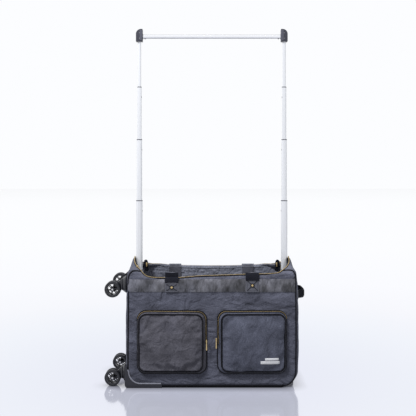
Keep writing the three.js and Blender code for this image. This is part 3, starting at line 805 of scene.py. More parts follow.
@dataclass(frozen=True)
class Skin:
    """The surface that the bag's fabric follows, as a function of place.

    A place is u, from 0 to 8 round the case, and a height. Even u counts are the four sides,
    starting with the front from left to right, and odd ones are the corners between them.
    """

    layout: Layout
    bottom: float = 3.4
    end_bend: float = 43.0
    side_bend: float = 12.0
    corner: float = 16.0
    mouth_flat: tuple[float, float] = (157.0, 10.0)
    mouth_radii: tuple[float, float] = (77.8, 95.0)
    mouth_turns: tuple[float, float] = (39.0, 68.0)
    straight_run: tuple[float, float] = (234.0, 96.0)

    def edge(self, u: np.ndarray) -> np.ndarray:
        """Points of the mouth's edge, which has long oval corners and climbs to a peak at each end."""
        u = np.asarray(u, float) % 8
        side = np.floor(u).astype(int) % 8
        f = u - np.floor(u)
        (flat_x, flat_y), (radius_x, radius_y) = self.mouth_flat, self.mouth_radii
        first, last = np.radians(self.mouth_turns)
        share = np.where(side % 4 == 3, f, 1 - f)
        angle = first + (last - first) * share
        corner_x, corner_y = flat_x + radius_x * np.cos(angle), flat_y + radius_y * np.sin(angle)
        run = 2 * f - 1
        # Each straight side keeps its spacing up to a plain point, and is stretched from there to the corner.
        plain_x, plain_y = 150, 40
        end_x, end_y = flat_x + radius_x * np.cos(last), flat_y + radius_y * np.sin(first)
        reach_x, reach_y = self.straight_run
        long_x = np.sign(run) * np.interp(np.abs(run) * reach_x, (0, plain_x, reach_x), (0, plain_x, end_x))
        short_y = np.sign(run) * np.interp(np.abs(run) * reach_y, (0, plain_y, reach_y), (0, plain_y, end_y))
        beyond_x = np.clip((np.abs(long_x) - flat_x) / radius_x, 0, 1)
        beyond_y = np.clip((np.abs(short_y) - flat_y) / radius_y, 0, 1)
        long_y = flat_y + radius_y * np.sqrt(1 - beyond_x**2)
        short_x = flat_x + radius_x * np.sqrt(1 - beyond_y**2)
        x = np.select([side == 0, side == 2, side == 4, side == 6], [long_x, short_x, -long_x, -short_x],
                      np.where(side < 4, corner_x, -corner_x))
        y = np.select([side == 0, side == 2, side == 4, side == 6], [-long_y, short_y, long_y, -short_y],
                      np.where((side == 1) | (side == 7), -corner_y, corner_y))
        front = 323.5 + 0.028 * x - 4.5 * np.exp(-(((x + 112) / 60) ** 2))
        back = 325.0 + 9.0 * (np.abs(x) / 200) ** 2
        climb = np.interp(np.abs(y), (0, 25, 60, 85, 105), (367, 355.5, 343.5, 335, 326))
        share = smooth(74, 104, np.abs(y))
        z = np.where(y < 0, front, back) * share + climb * (1 - share)
        return np.stack([x, y, z], axis=-1)

    def mouth(self, u: np.ndarray) -> np.ndarray:
        """How high the fabric would reach at each u if it did not bend in to the mouth."""
        goal = self.edge(u)
        x, y = self.outline(u, goal[..., 2])
        return goal[..., 2] + 0.62 * np.hypot(goal[..., 0] - x, goal[..., 1] - y)

    def _bend_in(self, u: np.ndarray, z: np.ndarray) -> np.ndarray:
        """How far the fabric has moved in towards the mouth's edge."""
        top = self.mouth(u)
        x, y = self.outline(u, top)
        shift = self.edge(u) - np.stack([x, y, top], axis=-1)
        length = 18 + 0.6 * np.hypot(shift[..., 0], shift[..., 1])
        share = np.clip((z - top + length) / length, 0, 1.2) ** 2.6
        return shift * share[..., None]

    def seam_share(self, z: np.ndarray) -> np.ndarray:
        """Where the seam runs round a corner, from 0 at the end to 1 at the front or the back."""
        away = np.interp(z, (300, 345), (7.4, 2.2))
        return np.arccos(1 - away / self.corner) / (math.pi / 2)

    def outline(self, u: np.ndarray, z: np.ndarray) -> tuple[np.ndarray, np.ndarray]:
        """Plan position of each place."""
        u, z = np.broadcast_arrays(np.asarray(u, float) % 8, np.asarray(z, float))
        up = np.clip(z - self.bottom, 0, None)
        short = np.clip(self.end_bend - up, 0, None)
        a = self.layout.half_length - (self.end_bend - np.sqrt(self.end_bend**2 - short**2))
        a = a - np.interp(z, (300, 345, 380), (0, 5.0, 11.0))
        short = np.clip(self.side_bend - up, 0, None)
        b = self.layout.half_depth - (self.side_bend - np.sqrt(self.side_bend**2 - short**2))
        r = self.corner
        side = np.floor(u).astype(int) % 8
        f = u - np.floor(u)
        x = np.zeros(u.shape)
        y = np.zeros(u.shape)
        for k, (sx, sy) in enumerate(((1, -1), (1, 1), (-1, 1), (-1, -1))):
            straight, corner = side == 2 * k, side == 2 * k + 1
            angle = np.radians(-90 + 90 * k + 90 * f)
            x = np.where(corner, sx * (a - r) + r * np.cos(angle), x)
            y = np.where(corner, sy * (b - r) + r * np.sin(angle), y)
            run = (2 * f - 1) * ((a if k % 2 == 0 else b) - r)
            if k == 0:
                x, y = np.where(straight, run, x), np.where(straight, -b, y)
            elif k == 1:
                x, y = np.where(straight, a, x), np.where(straight, run, y)
            elif k == 2:
                x, y = np.where(straight, -run, x), np.where(straight, b, y)
            else:
                x, y = np.where(straight, -a, x), np.where(straight, -run, y)
        return x, y

    def at(self, u: np.ndarray, z: np.ndarray, lift: float | np.ndarray = 0.0) -> tuple[np.ndarray, np.ndarray]:
        """Points and outward normals of the skin.

        Args:
            u: Places round the case.
            z: Heights.
            lift: How far outside the skin the points are.

        Returns:
            The points and the unit normals.
        """
        u, z = np.broadcast_arrays(np.asarray(u, float), np.asarray(z, float))
        step = 1e-3

        def bare(du: float, dz: float) -> np.ndarray:
            """The smooth surface near each place."""
            x, y = self.outline(u + du, z + dz)
            return np.stack([x, y, z + dz], axis=-1) + self._bend_in(u + du, z + dz)

        points = bare(0, 0)
        around = bare(step, 0) - bare(-step, 0)
        upward = bare(0, 0.3) - points
        normal = np.cross(around, upward)
        normal /= np.linalg.norm(normal, axis=-1, keepdims=True) + 1e-12
        push = self.crumple(points) + np.asarray(lift, float)
        return points + normal * push[..., None], normal

    def crumple(self, points: np.ndarray) -> np.ndarray:
        """How far the fabric stands off its smooth surface."""
        x, y, z = points[..., 0], points[..., 1], points[..., 2]
        broad = ripple(points, (95, 60, 120), 3.1) * 2.6
        folds = ripple(points, (30, 26, 44), 9.4) * 1.5
        creases = ripple(points, (13, 13, 15), 17.7) * 0.5
        ends = smooth(236, 248, np.abs(x)) * 1.62 * np.sin(np.pi * np.clip((z - 30) / 250, 0, 1))
        calm = 1 - 0.55 * smooth(300, 322, z)
        calm *= smooth(3, 30, z)
        beside_cup = smooth(236, 246, x) * smooth(50, 60, y) * smooth(64, 76, z) * smooth(256, 244, z)
        calm *= 1 - 0.95 * beside_cup
        return (broad + folds + creases + ends) * calm


@dataclass
class Bag(SubAssembly):
    """Outer fabric, lining, piping, band and the zip round the mouth."""

    skin: Skin
    fabric: float = 1.6
    lining_gap: float = 5.4
    piping_radius: float = 2.2
    band_low: float = 278.0
    band_high: float = 316.0
    wall_top: float = 262.0
    columns: tuple[int, ...] = (96, 12, 34, 12)
    zip_columns: tuple[int, ...] = (70, 16, 30, 16)

    def build(self) -> None:
        """Makes every piece of the bag."""
        self._shell()
        self._lining()
        self._pipings()
        self._bands()
        self._mouth_zip()
        self._floor_board()

    @staticmethod
    def _places(counts: tuple[int, ...]) -> np.ndarray:
        """Places round the case, with that many on each side and each corner of one half."""
        return np.concatenate([k + np.arange(n) / n for k, n in enumerate(counts * 2)])

    def _levels(self, u: np.ndarray, bottom: float, short: float = 0.0) -> np.ndarray:
        """Heights of the rows above each place: rows crowd at the bottom bend and at the mouth."""
        bend = bottom + self.skin.end_bend * (1 - np.cos(np.linspace(0.02, 1, 16) * math.pi / 2))
        low = np.concatenate([bend, np.linspace(bend[-1], self.wall_top, 34)[1:]])
        rise = np.linspace(0, 1, 28)[1:]
        top = self.skin.mouth(u) - short
        high = self.wall_top + (top - self.wall_top)[:, None] * rise
        return np.concatenate([np.broadcast_to(low, (len(u), len(low))), high], axis=1)

    def _cup_opening(self) -> Shape:
        """The opening in the grip end for the pull handle's cup."""
        low, high = self.layout.box("trolley_cup")
        outline = np.array([(low[1], low[2]), (high[1], low[2]), (high[1], high[2]), (low[1], high[2])])
        outline += np.array([(-0.4, -0.4), (0.4, -0.4), (0.4, 0.4), (-0.4, 0.4)])
        return plate(outline, "x", low[0] - 1.0, high[0] + 12.0)

    def _shell(self) -> None:
        """The outer fabric, one closed skin from the floor to the lip."""
        u = self._places(self.columns)
        levels = self._levels(u, self.skin.bottom)
        outside, normal = self.skin.at(u[:, None], levels)
        shape = slab(outside, outside - normal * self.fabric, round_case=True)
        panels = ["front_panel", "back_panel", "floor_panel", "grip_end_panel", "wheel_end_panel"]
        self.add("bag_shell", shape, NYLON, replaces=panels, opening=self._cup_opening())

    def _lining(self) -> None:
        """The lining, with gathers where it is sewn to the zip."""
        u = self._places(self.columns)
        levels = self._levels(u, self.skin.bottom + 3.0, short=1.0)
        surface, normal = self.skin.at(u[:, None], levels)
        slant = surface + surface[..., 2:] * np.array([0.5, 0.0, 0.0])
        gather = ripple(slant, (10, 12, 34), 31.0) * 2.8 + ripple(surface, (34, 30, 9), 5.5) * 3.0
        top = smooth(0, 12, self.skin.mouth(u)[:, None] - levels)
        depth = self.lining_gap + (np.abs(gather) + 0.4) * top
        tuck = np.where(levels > self.wall_top, 1 - 0.72 * (1 - top), 1.0)
        outside = surface - normal * (depth * tuck)[..., None]
        inside = outside - normal * 1.0
        self.add("bag_lining", slab(outside, inside, round_case=True), LINING, opening=self._cup_opening())

    def painted_shade_line(self, back: bool) -> Path:
        """The line where the front or back panel meets the ends and the floor."""
        start = 3.0 if back else 7.0
        levels = self.skin.bottom + self.skin.end_bend * (1 - np.cos(np.linspace(0.24, 1, 16) * math.pi / 2))

        def climb(corner: float, turn: int) -> Path:
            """The part of the seam that climbs round a corner, which starts or ends at an end panel."""
            z = np.concatenate([levels, np.linspace(46.4, 250, 26)[1:], np.linspace(250, 366, 44)[1:]])
            place = corner + turn * self.skin.seam_share(z)
            keep = z < self.skin.mouth(place) - 0.5
            points, normal = self.skin.at(place[keep], z[keep])
            return points + normal * 0.6

        share = float(self.skin.seam_share(np.array([levels[0]]))[0])
        run = np.linspace(start + share, start + 3 - share, 90)
        base, normal = self.skin.at(run, np.full(run.shape, levels[0]))
        return np.concatenate([climb(start, 1)[::-1], (base + normal * 0.6)[1:-1], climb(start + 3, -1)])

    def _pipings(self) -> None:
        """Black piping along the seams of the front and back panels, and a near-black cord along each foot that is
        partly a binding and partly a painted contact shadow.
        """
        section = ring_section(self.piping_radius, 10)
        for name, back in (("front_piping", False), ("back_piping", True)):
            self.add(name, sweep(self.painted_shade_line(back), section), PIPING)
        # The base cords are thick and near-black: partly a binding, partly a painted contact shadow under the case.
        for name, sign in (("front", -1), ("back", 1)):
            x = np.linspace(-143.0, 208.0, 60)
            y = np.full(x.shape, sign * (self.layout.half_depth - 3.0))
            cord = np.stack([x, y, 3.3 + 3.5 * smooth(204, 209, x)], axis=1)
            self.add(f"{name}_base_cord", sweep(cord, ring_section(3.1, 10)), BASE_CORD_AND_SHADOW)

    def _bands(self) -> None:
        """The coated bands round the front and the back, puckered along their seams."""
        for name, start in (("front_band", 7.0), ("back_band", 3.0)):
            share = np.linspace(0, 1, 16)
            z = self.band_low + (self.band_high - self.band_low) * share
            edge = self.skin.seam_share(z) + 0.03
            across = np.linspace(0, 1, 230)[:, None]
            u = (start + edge) * (1 - across) + (start + 3 - edge) * across
            surface, normal = self.skin.at(u, np.broadcast_to(z, u.shape))
            slant = surface * np.array([1, 0.2, 0.35]) + surface[..., 2:] * np.array([0.35, 0, 0])
            pucker = ripple(slant, (10, 30, 60), 41.0) * 3.0
            broad = ripple(surface, (26, 30, 60), 57.0) * 2.4
            puff = np.sin(np.pi * share)[None, :] ** 0.7 * (1.3 + pucker + broad)
            outside = surface + normal * (0.9 + np.maximum(puff, -0.2))[..., None]
            inside = surface + normal * 0.1
            self.add(name, slab(outside, inside), COATED_BAND)
            for key, column, height in (("top", 14, self.band_high - 2.4), ("foot", 1, self.band_low + 2.4)):
                line, facing = self.skin.at(u[:, column], np.full(len(u), height), 1.5)
                self.repeat(f"{name}_{key}_stitches", line, facing, STRAP, STITCH)

    def _mouth_zip(self) -> None:
        """Tape, binding and teeth round the mouth, with two sliders, and a near-black tab of painted shade inside each
        end.
        """
        u = self._places(self.zip_columns)
        top = self.skin.mouth(u)
        edge, normal = self.skin.at(u, top)
        up = np.array([0.0, 0.0, 1.0])
        lean = normal * 0.25 + up
        lean = unit(lean)
        binding = edge + normal * 0.3 - up * 1.8
        halves = (("front", 6.5, WEBBING, PIPING), ("back", 2.5, LINING, LINING))
        for name, first, tape_finish, edge_finish in halves:
            order = np.argsort((u - first) % 8)
            half = order[(u[order] - first) % 8 <= 4.05]
            under = edge[half] - normal[half] * 0.8 - up * 1.2
            strip = sweep(under, flat_section(9.0, 1.4, steps=6)[:, ::-1], normal[half])
            self.add(f"{name}_zip_tape", strip, tape_finish)
            self.add(f"{name}_mouth_binding", sweep(binding[half], ring_section(2.1, 10)), edge_finish)
        behind = smooth(-20, 60, edge[:, 1])[:, None]
        teeth = edge + up * (2.0 - 3.6 * behind) + normal * (0.7 + 2.6 * behind)
        self.repeat("mouth_zip_teeth", teeth, lean, ZIP_METAL, ZIP_TEETH, closed=True)
        self.add("mouth_zip_cord", sweep(teeth - lean * 0.7, ring_section(0.7, 8), closed=True), ZIP_METAL)
        for name, sign in (("left", -1), ("right", 1)):
            x, y = sign * 206.0, 70.0
            # A near-black tab inside each end of the mouth is painted shade, where the lining at the end falls into
            # shadow.
            fold = np.array([[x, y + 2, 312], [x, y, 326], [x + sign * 1.5, y - 2, 340], [x + sign * 4, y - 1, 351],
                             [x + sign * 4, y + 3, 351], [x + sign * 1.5, y + 4, 336]])
            painted_shade_flap = sweep(fold, flat_section(13.0, 2.4, 0.3, 6), np.array([0.0, -1.0, 0.2]))
            self.add(f"mouth_painted_shade_tab_{name}", painted_shade_flap, WEBBING, rounding=1)
            pull = np.array([[x, y - 3.5, 327], [x, y - 4, 331], [x, y - 4, 339], [x, y - 2, 342]])
            self.add(f"mouth_pull_{name}", sweep(pull, flat_section(4.4, 1.8, steps=6), np.array([0.0, -1.0, 0.0])),
                     ZIP_METAL, rounding=1)
        for name, place in (("left", 6.93), ("right", 3.07)):
            spot, facing = self.skin.at(np.array([place]), self.skin.mouth(np.array([place])))
            centre, out = spot[0], facing[0]
            side = np.cross(out, up)
            rail = np.stack([centre + side * s + up * 3.4 - out * 0.2 for s in (-5.5, -2, 2, 5.5)])
            body = sweep(rail, flat_section(6.4, 5.2, 0.4, 6), up)
            hang = ((0, 6.2), (4, 6.8), (8, 3.5), (9, -8), (9, -22))
            pull_path = np.stack([centre - out * d + up * h for d, h in hang])
            pull = sweep(pull_path, flat_section(4.2, 1.6, steps=6), -out + up * 0.2)
            self.add(f"mouth_slider_{name}", Shape.joined(body, pull), ZIP_METAL, rounding=1)

    def _floor_board(self) -> None:
        """Stiff floor board with turned-up ends, and a socket round each rail foot."""
        low, high = self.layout.box("floor_board")
        thick = 4.0
        bend = 30.0
        flat = 204.0
        depth = high[1] - low[1]
        top = low[2] + thick
        angle = np.linspace(0, math.radians(62), 10)[1:]
        right = np.stack([flat + bend * np.sin(angle), top + bend * (1 - np.cos(angle))], axis=1)
        line = np.concatenate([np.stack([-right[::-1, 0], right[::-1, 1]], axis=1),
                               np.stack([np.linspace(-flat, flat, 30), np.full(30, top)], axis=1), right])
        path = np.stack([line[:, 0], np.zeros(len(line)), line[:, 1] - thick / 2], axis=1)
        tangent = np.gradient(path, axis=0)
        tangent = unit(tangent)
        facing = np.stack([-tangent[:, 2], np.zeros(len(path)), tangent[:, 0]], axis=1)
        board = sweep(path, flat_section(depth - 4, thick, steps=10), facing)
        sockets = []
        for side in (-1, 1):
            outline = rounded_outline(30, 27, 5, 2.5) + np.array([side * (self.layout.pole - 1.5), 0])
            sockets.append(plate(outline, "z", top + 6, top + 22))
        self.add("covered_floor_board", board, BOARD, replaces=["floor_board"])
        self.add("rail_sockets", Shape.joined(*sockets), CASTER_PLASTIC, bevel=1.2)


# --------------------------------------------------------------------------- pockets


@dataclass
class Pocket(SubAssembly):
    """A zipped front pocket: sloped gusset, puffed face, pipings, zip and slider."""

    skin: Skin
    side: str
    finish: Finish
    slack: float
    face_inset: float = 7.6
    face_shift: tuple[float, float] = (3.2, -1.8)
    gusset_depth: float = 8.5
    piping_radius: float = 2.0
    most_shift: float = 8.5
    most_out: float = 6.8
    most_in: float = 1.2

    def build(self) -> None:
        """Makes every piece of the pocket."""
        self.node = f"{self.side}_pocket"
        self.low, self.high = self.layout.box(self.node)
        self.sign = -1 if self.side == "left" else 1
        self.centre = np.array([(self.low[0] + self.high[0]) / 2, self.high[1], (self.low[2] + self.high[2]) / 2])
        self.width = self.high[0] - self.low[0]
        self.height = self.high[2] - self.low[2]
        self._gusset()
        self._face()
        self._zip()
        self._slider()

    def _ring(self, inset: float, out: float, radius: float, step: float = 3.0) -> Path:
        """A line round the pocket, inset from its outline and standing off the bag."""
        flat = rounded_outline(self.width - 2 * inset, self.height - 2 * inset, radius, step)
        line = np.zeros((len(flat), 3))
        right, up = self.face_shift
        line[:, 0] = self.centre[0] + flat[:, 0] + self.sign * right * (inset / self.face_inset)
        line[:, 1] = self.centre[1] - out
        line[:, 2] = self.centre[2] + flat[:, 1] + up * (inset / self.face_inset)
        sag = ripple(line, (60, 60, 60), 3.0 + self.sign) * 1.2
        line[:, 0] += sag * 0.8
        line[:, 2] += sag
        return line

    def _gusset(self) -> None:
        """The sloped band between the bag and the face, piped on both edges."""
        count = 190
        rings = []
        for share in np.linspace(0, 1, 7):
            line = self._ring(self.face_inset * share**1.3, self.gusset_depth * share, 25 - 4 * share, 1.0)
            rings.append(spread(line, count))
        outer = np.stack(rings, axis=1)
        bulge = ripple(outer, (18, 18, 18), 21.0) * np.sin(np.linspace(0, np.pi, 7))[None, :] * 0.9
        away = outer - self.centre
        away[..., 1] = -6
        away = unit(away)
        outer = outer + away * bulge[..., None]
        inner = outer - away * 1.4
        loop = np.concatenate([outer, inner[:, ::-1]], axis=1)
        self.add(f"{self.side}_pocket_gusset", grid(loop, True, True), self.finish)
        section = ring_section(self.piping_radius, 8)
        base = self._ring(0.0, 0.8, 25)
        edge = self._ring(self.face_inset, self.gusset_depth + 0.4, 21)
        self.add(f"{self.side}_pocket_base_piping", sweep(base, section, closed=True), PIPING)
        self.add(f"{self.side}_pocket_edge_piping", sweep(edge, section, closed=True), PIPING)

    def _face(self) -> None:
        """The puffed face, blown up as cloth that is held round its edge."""
        ring = self._ring(self.face_inset + 0.6, self.gusset_depth - 1.2, 20, 3.0)
        front = ring.copy()
        front[:, 1] -= 2.6
        middle = ring.mean(axis=0)
        shrunk = [ring, front]
        for share in (0.97, 0.9, 0.6, 0.25):
            layer = middle + (front - front.mean(axis=0)) * share
            layer[:, 1] = front[0, 1] - 2.2 * (1 - share) ** 0.5
            shrunk.append(layer)
        loop = np.stack(shrunk, axis=1)
        shape = grid(loop, wrap_first=True)
        rows, columns = loop.shape[:2]
        shape.faces.append(tuple(i * columns for i in range(rows)))
        shape.faces.append(tuple(i * columns + columns - 1 for i in reversed(range(rows))))
        pad = place_object(f"{self.side}_pocket_face", self.mesh("pad", shape))
        remesh = pad.modifiers.new("even", "REMESH")
        remesh.mode = "VOXEL"
        remesh.voxel_size = 0.004
        bake_modifiers(pad)
        self._inflate(pad, ring[0, 1], middle)
        self._wrinkle(pad, ring[0, 1])
        subdivide(pad, 1)
        bake_modifiers(pad)
        pad.data.shade_smooth()
        self.settle(pad, self.finish, "case", [self.node])

    def _inflate(self, pad: bpy.types.Object, back: float, middle: np.ndarray) -> None:
        """Blows the pad up a little, with its back and its edge held.

        Args:
            pad: The pad, as an evenly meshed closed body.
            back: Where its back face lies along y, in millimetres.
            middle: Its middle.
        """
        mesh = pad.data
        start = vertex_points(mesh)
        local = self.layout.local(start)
        half_width = self.width / 2 - self.face_inset - 3.5
        half_height = self.height / 2 - self.face_inset - 3.5
        off = np.abs(local - middle)
        radius = 18
        beyond = [np.clip(off[:, k] - half + radius, 0, None) for k, half in ((0, half_width), (2, half_height))]
        held = (local[:, 1] > back - 1.2) | (np.hypot(*beyond) > radius - 0.5)
        group = pad.vertex_groups.new(name="held")
        group.add([int(i) for i in np.nonzero(held)[0]], 1.0, "REPLACE")
        cloth = pad.modifiers.new("cloth", "CLOTH")
        settings = cloth.settings
        stiffness = {"tension_stiffness": 14, "compression_stiffness": 14, "shear_stiffness": 5,
                     "bending_stiffness": 0.35}
        for name, value in {"quality": 6, "mass": 0.3, "uniform_pressure_force": 3.2, **stiffness}.items():
            setattr(settings, name, value)
        settings.shrink_min = -self.slack
        settings.use_pressure = True
        settings.vertex_group_mass = "held"
        settings.effector_weights.gravity = 0.0
        cloth.collision_settings.use_collision = False
        scene = bpy.context.scene
        for frame in range(1, CLOTH_FRAMES + 1):
            scene.frame_set(frame)
        graph = bpy.context.evaluated_depsgraph_get()
        shift = vertex_points(pad.evaluated_get(graph).to_mesh()) - start
        pad.evaluated_get(graph).to_mesh_clear()
        pad.modifiers.clear()
        reach = np.linalg.norm(shift, axis=1, keepdims=True)
        shift *= np.minimum(1.0, self.most_shift * MM / np.maximum(reach, 1e-9))
        shift[:, 1] = np.clip(shift[:, 1], -self.most_out * MM, self.most_in * MM)
        mesh.vertices.foreach_set("co", (start + shift).ravel())
        mesh.update()
        scene.frame_set(1)

    def _wrinkle(self, pad: bpy.types.Object, back: float) -> None:
        """Presses wrinkles into the pad's front, deepest beside its edge."""
        mesh = pad.data
        points = vertex_points(mesh)
        local = self.layout.local(points)
        front = smooth(back - 1.0, back - 4.0, local[:, 1])
        reach = np.maximum(np.abs(local[:, 0] - self.centre[0]) / (self.width / 2),
                           np.abs(local[:, 2] - self.centre[2]) / (self.height / 2))
        beside = smooth(0.55, 0.85, reach)
        slow = ripple(local, (44, 30, 30), 7.0 + self.sign) * 1.1
        slant = local + local[:, 2:] * np.array([self.sign * 0.6, 0.0, 0.0])
        quick = ripple(slant, (9, 20, 15), 19.0 + self.sign) * (0.35 + 1.1 * beside)
        points[:, 1] += (slow + quick) * front * MM
        mesh.vertices.foreach_set("co", points.ravel())
        mesh.update()

    def _zip(self) -> None:
        """Zip tape and teeth over the top and down the inner side of the gusset."""
        line = self._ring(1.7, 3.6, 24, 2.0)
        x = (line[:, 0] - self.centre[0]) * self.sign
        z = line[:, 2] - self.centre[2]
        wanted = (z > self.height / 2 - 24) | ((x < -self.width / 2 + 24) & (z > -self.height * 0.02))
        start = int(np.argmax(~wanted & np.roll(wanted, -1))) + 1
        run = np.roll(line, -start, axis=0)[: int(wanted.sum())]
        facing = run - self.centre
        facing[:, 1] = -30
        facing = unit(facing)
        self.add(f"{self.side}_pocket_zip_tape", sweep(run, flat_section(5.0, 0.9, steps=4), facing), WEBBING)
        teeth = run + facing * 0.9
        self.repeat(f"{self.side}_pocket_zip_teeth", teeth, facing, ZIP_METAL, FINE_TEETH)
        self.add(f"{self.side}_pocket_zip_cord", sweep(teeth, ring_section(0.4, 6)), ZIP_METAL)

    def _slider(self) -> None:
        """Slider body with a bridge and a hanging pull."""
        node = f"{self.side}_pocket_slider"
        low, high = self.layout.box(node)
        x = (low[0] + high[0]) / 2 + (-3.6 if self.side == "left" else 0.0)
        y = low[1] + 0.5
        rise = 0.0 if self.side == "left" else 5.0
        top = high[2] + rise
        z = np.array([0.0, -2.0, -8.0, -10.0]) + top
        body_path = np.stack([np.full(4, x), np.full(4, y + 3.4), z], axis=1)
        sections = taper(flat_section(4.6, 4.4, 0.4, 6), (0.62, 1.0, 1.0, 0.72))
        body = sweep(body_path, sections, np.array([0, -1.0, 0]))
        bridge_path = np.array([[x, y + 1.4, top - 1.5], [x, y - 0.4, top - 3.0], [x, y - 0.4, top - 7.0],
                                [x, y + 1.4, top - 8.5]])
        bridge = sweep(bridge_path, ring_section(0.9, 8), np.array([1.0, 0, 0]))
        pull_z = np.array([-5.0, -7.0, -10.0, -24.0, -29.0, -31.0]) + top
        pull_y = np.array([0.0, -0.6, 0.2, 1.2, 1.6, 1.6]) + y
        pull_path = np.stack([np.full(6, x), pull_y, pull_z], axis=1)
        sections = taper(flat_section(3.8, 1.4, steps=6), (0.5, 0.8, 0.75, 1.0, 1.05, 0.6))
        pull = sweep(pull_path, sections, np.array([0, -1.0, 0]))
        self.add(f"{node}_with_pull", Shape.joined(body, bridge, pull), ZIP_METAL, f"slider_{self.side}", [node],
                 rounding=1)


@dataclass
class Tag(SubAssembly):
    """A plain woven tag of two pale bars that lies on a pocket's face."""

    face: str = "right_pocket_face"
    centre: tuple[float, float] = (167.5, 80.5)
    thickness: float = 0.9

    def build(self) -> None:
        """Makes the two bars, without any lettering."""
        mesh = bpy.data.objects[self.face].data
        tree = BVHTree.FromPolygons([v.co for v in mesh.vertices], [p.vertices for p in mesh.polygons])
        bars = [self._bar(tree, 55.0, 9.0, -3.6, 0.0), self._bar(tree, 40.0, 7.0, 6.4, 5.0)]
        self.add("woven_tag", Shape.joined(*bars), LABEL)

    def _bar(self, tree: BVHTree, width: float, height: float, up: float, right: float) -> Shape:
        """A soft-cornered patch laid on the face.

        Args:
            tree: The face to lie on.
            width: Width along x.
            height: Height along z.
            up: How far its middle is above the tag's centre.
            right: How far its middle is to the right of the tag's centre.

        Returns:
            The closed patch.
        """
        across, along = np.linspace(-1, 1, 22), np.linspace(-1, 1, 7)
        front = np.zeros((22, 7, 3))
        for i, a in enumerate(across):
            for j, b in enumerate(along):
                x = self.centre[0] + right + a * width / 2
                z = self.centre[1] + up + b * height / 2 * (1 - 0.12 * abs(a) ** 12)
                start = Vector(self.layout.place(np.array([x, -200.0, z])).tolist())
                hit = tree.ray_cast(start, Vector((0, 1, 0)))[0]
                y = self.layout.local(hit)[1] if hit else -self.layout.half_depth - 12
                rim = max(abs(a) ** 14, abs(b) ** 8)
                front[i, j] = (x, y - self.thickness * (1 - 0.6 * rim), z)
        back = front + np.array([0, self.thickness + 0.6, 0])
        return slab(front, back)


# --------------------------------------------------------------------------- straps and handles


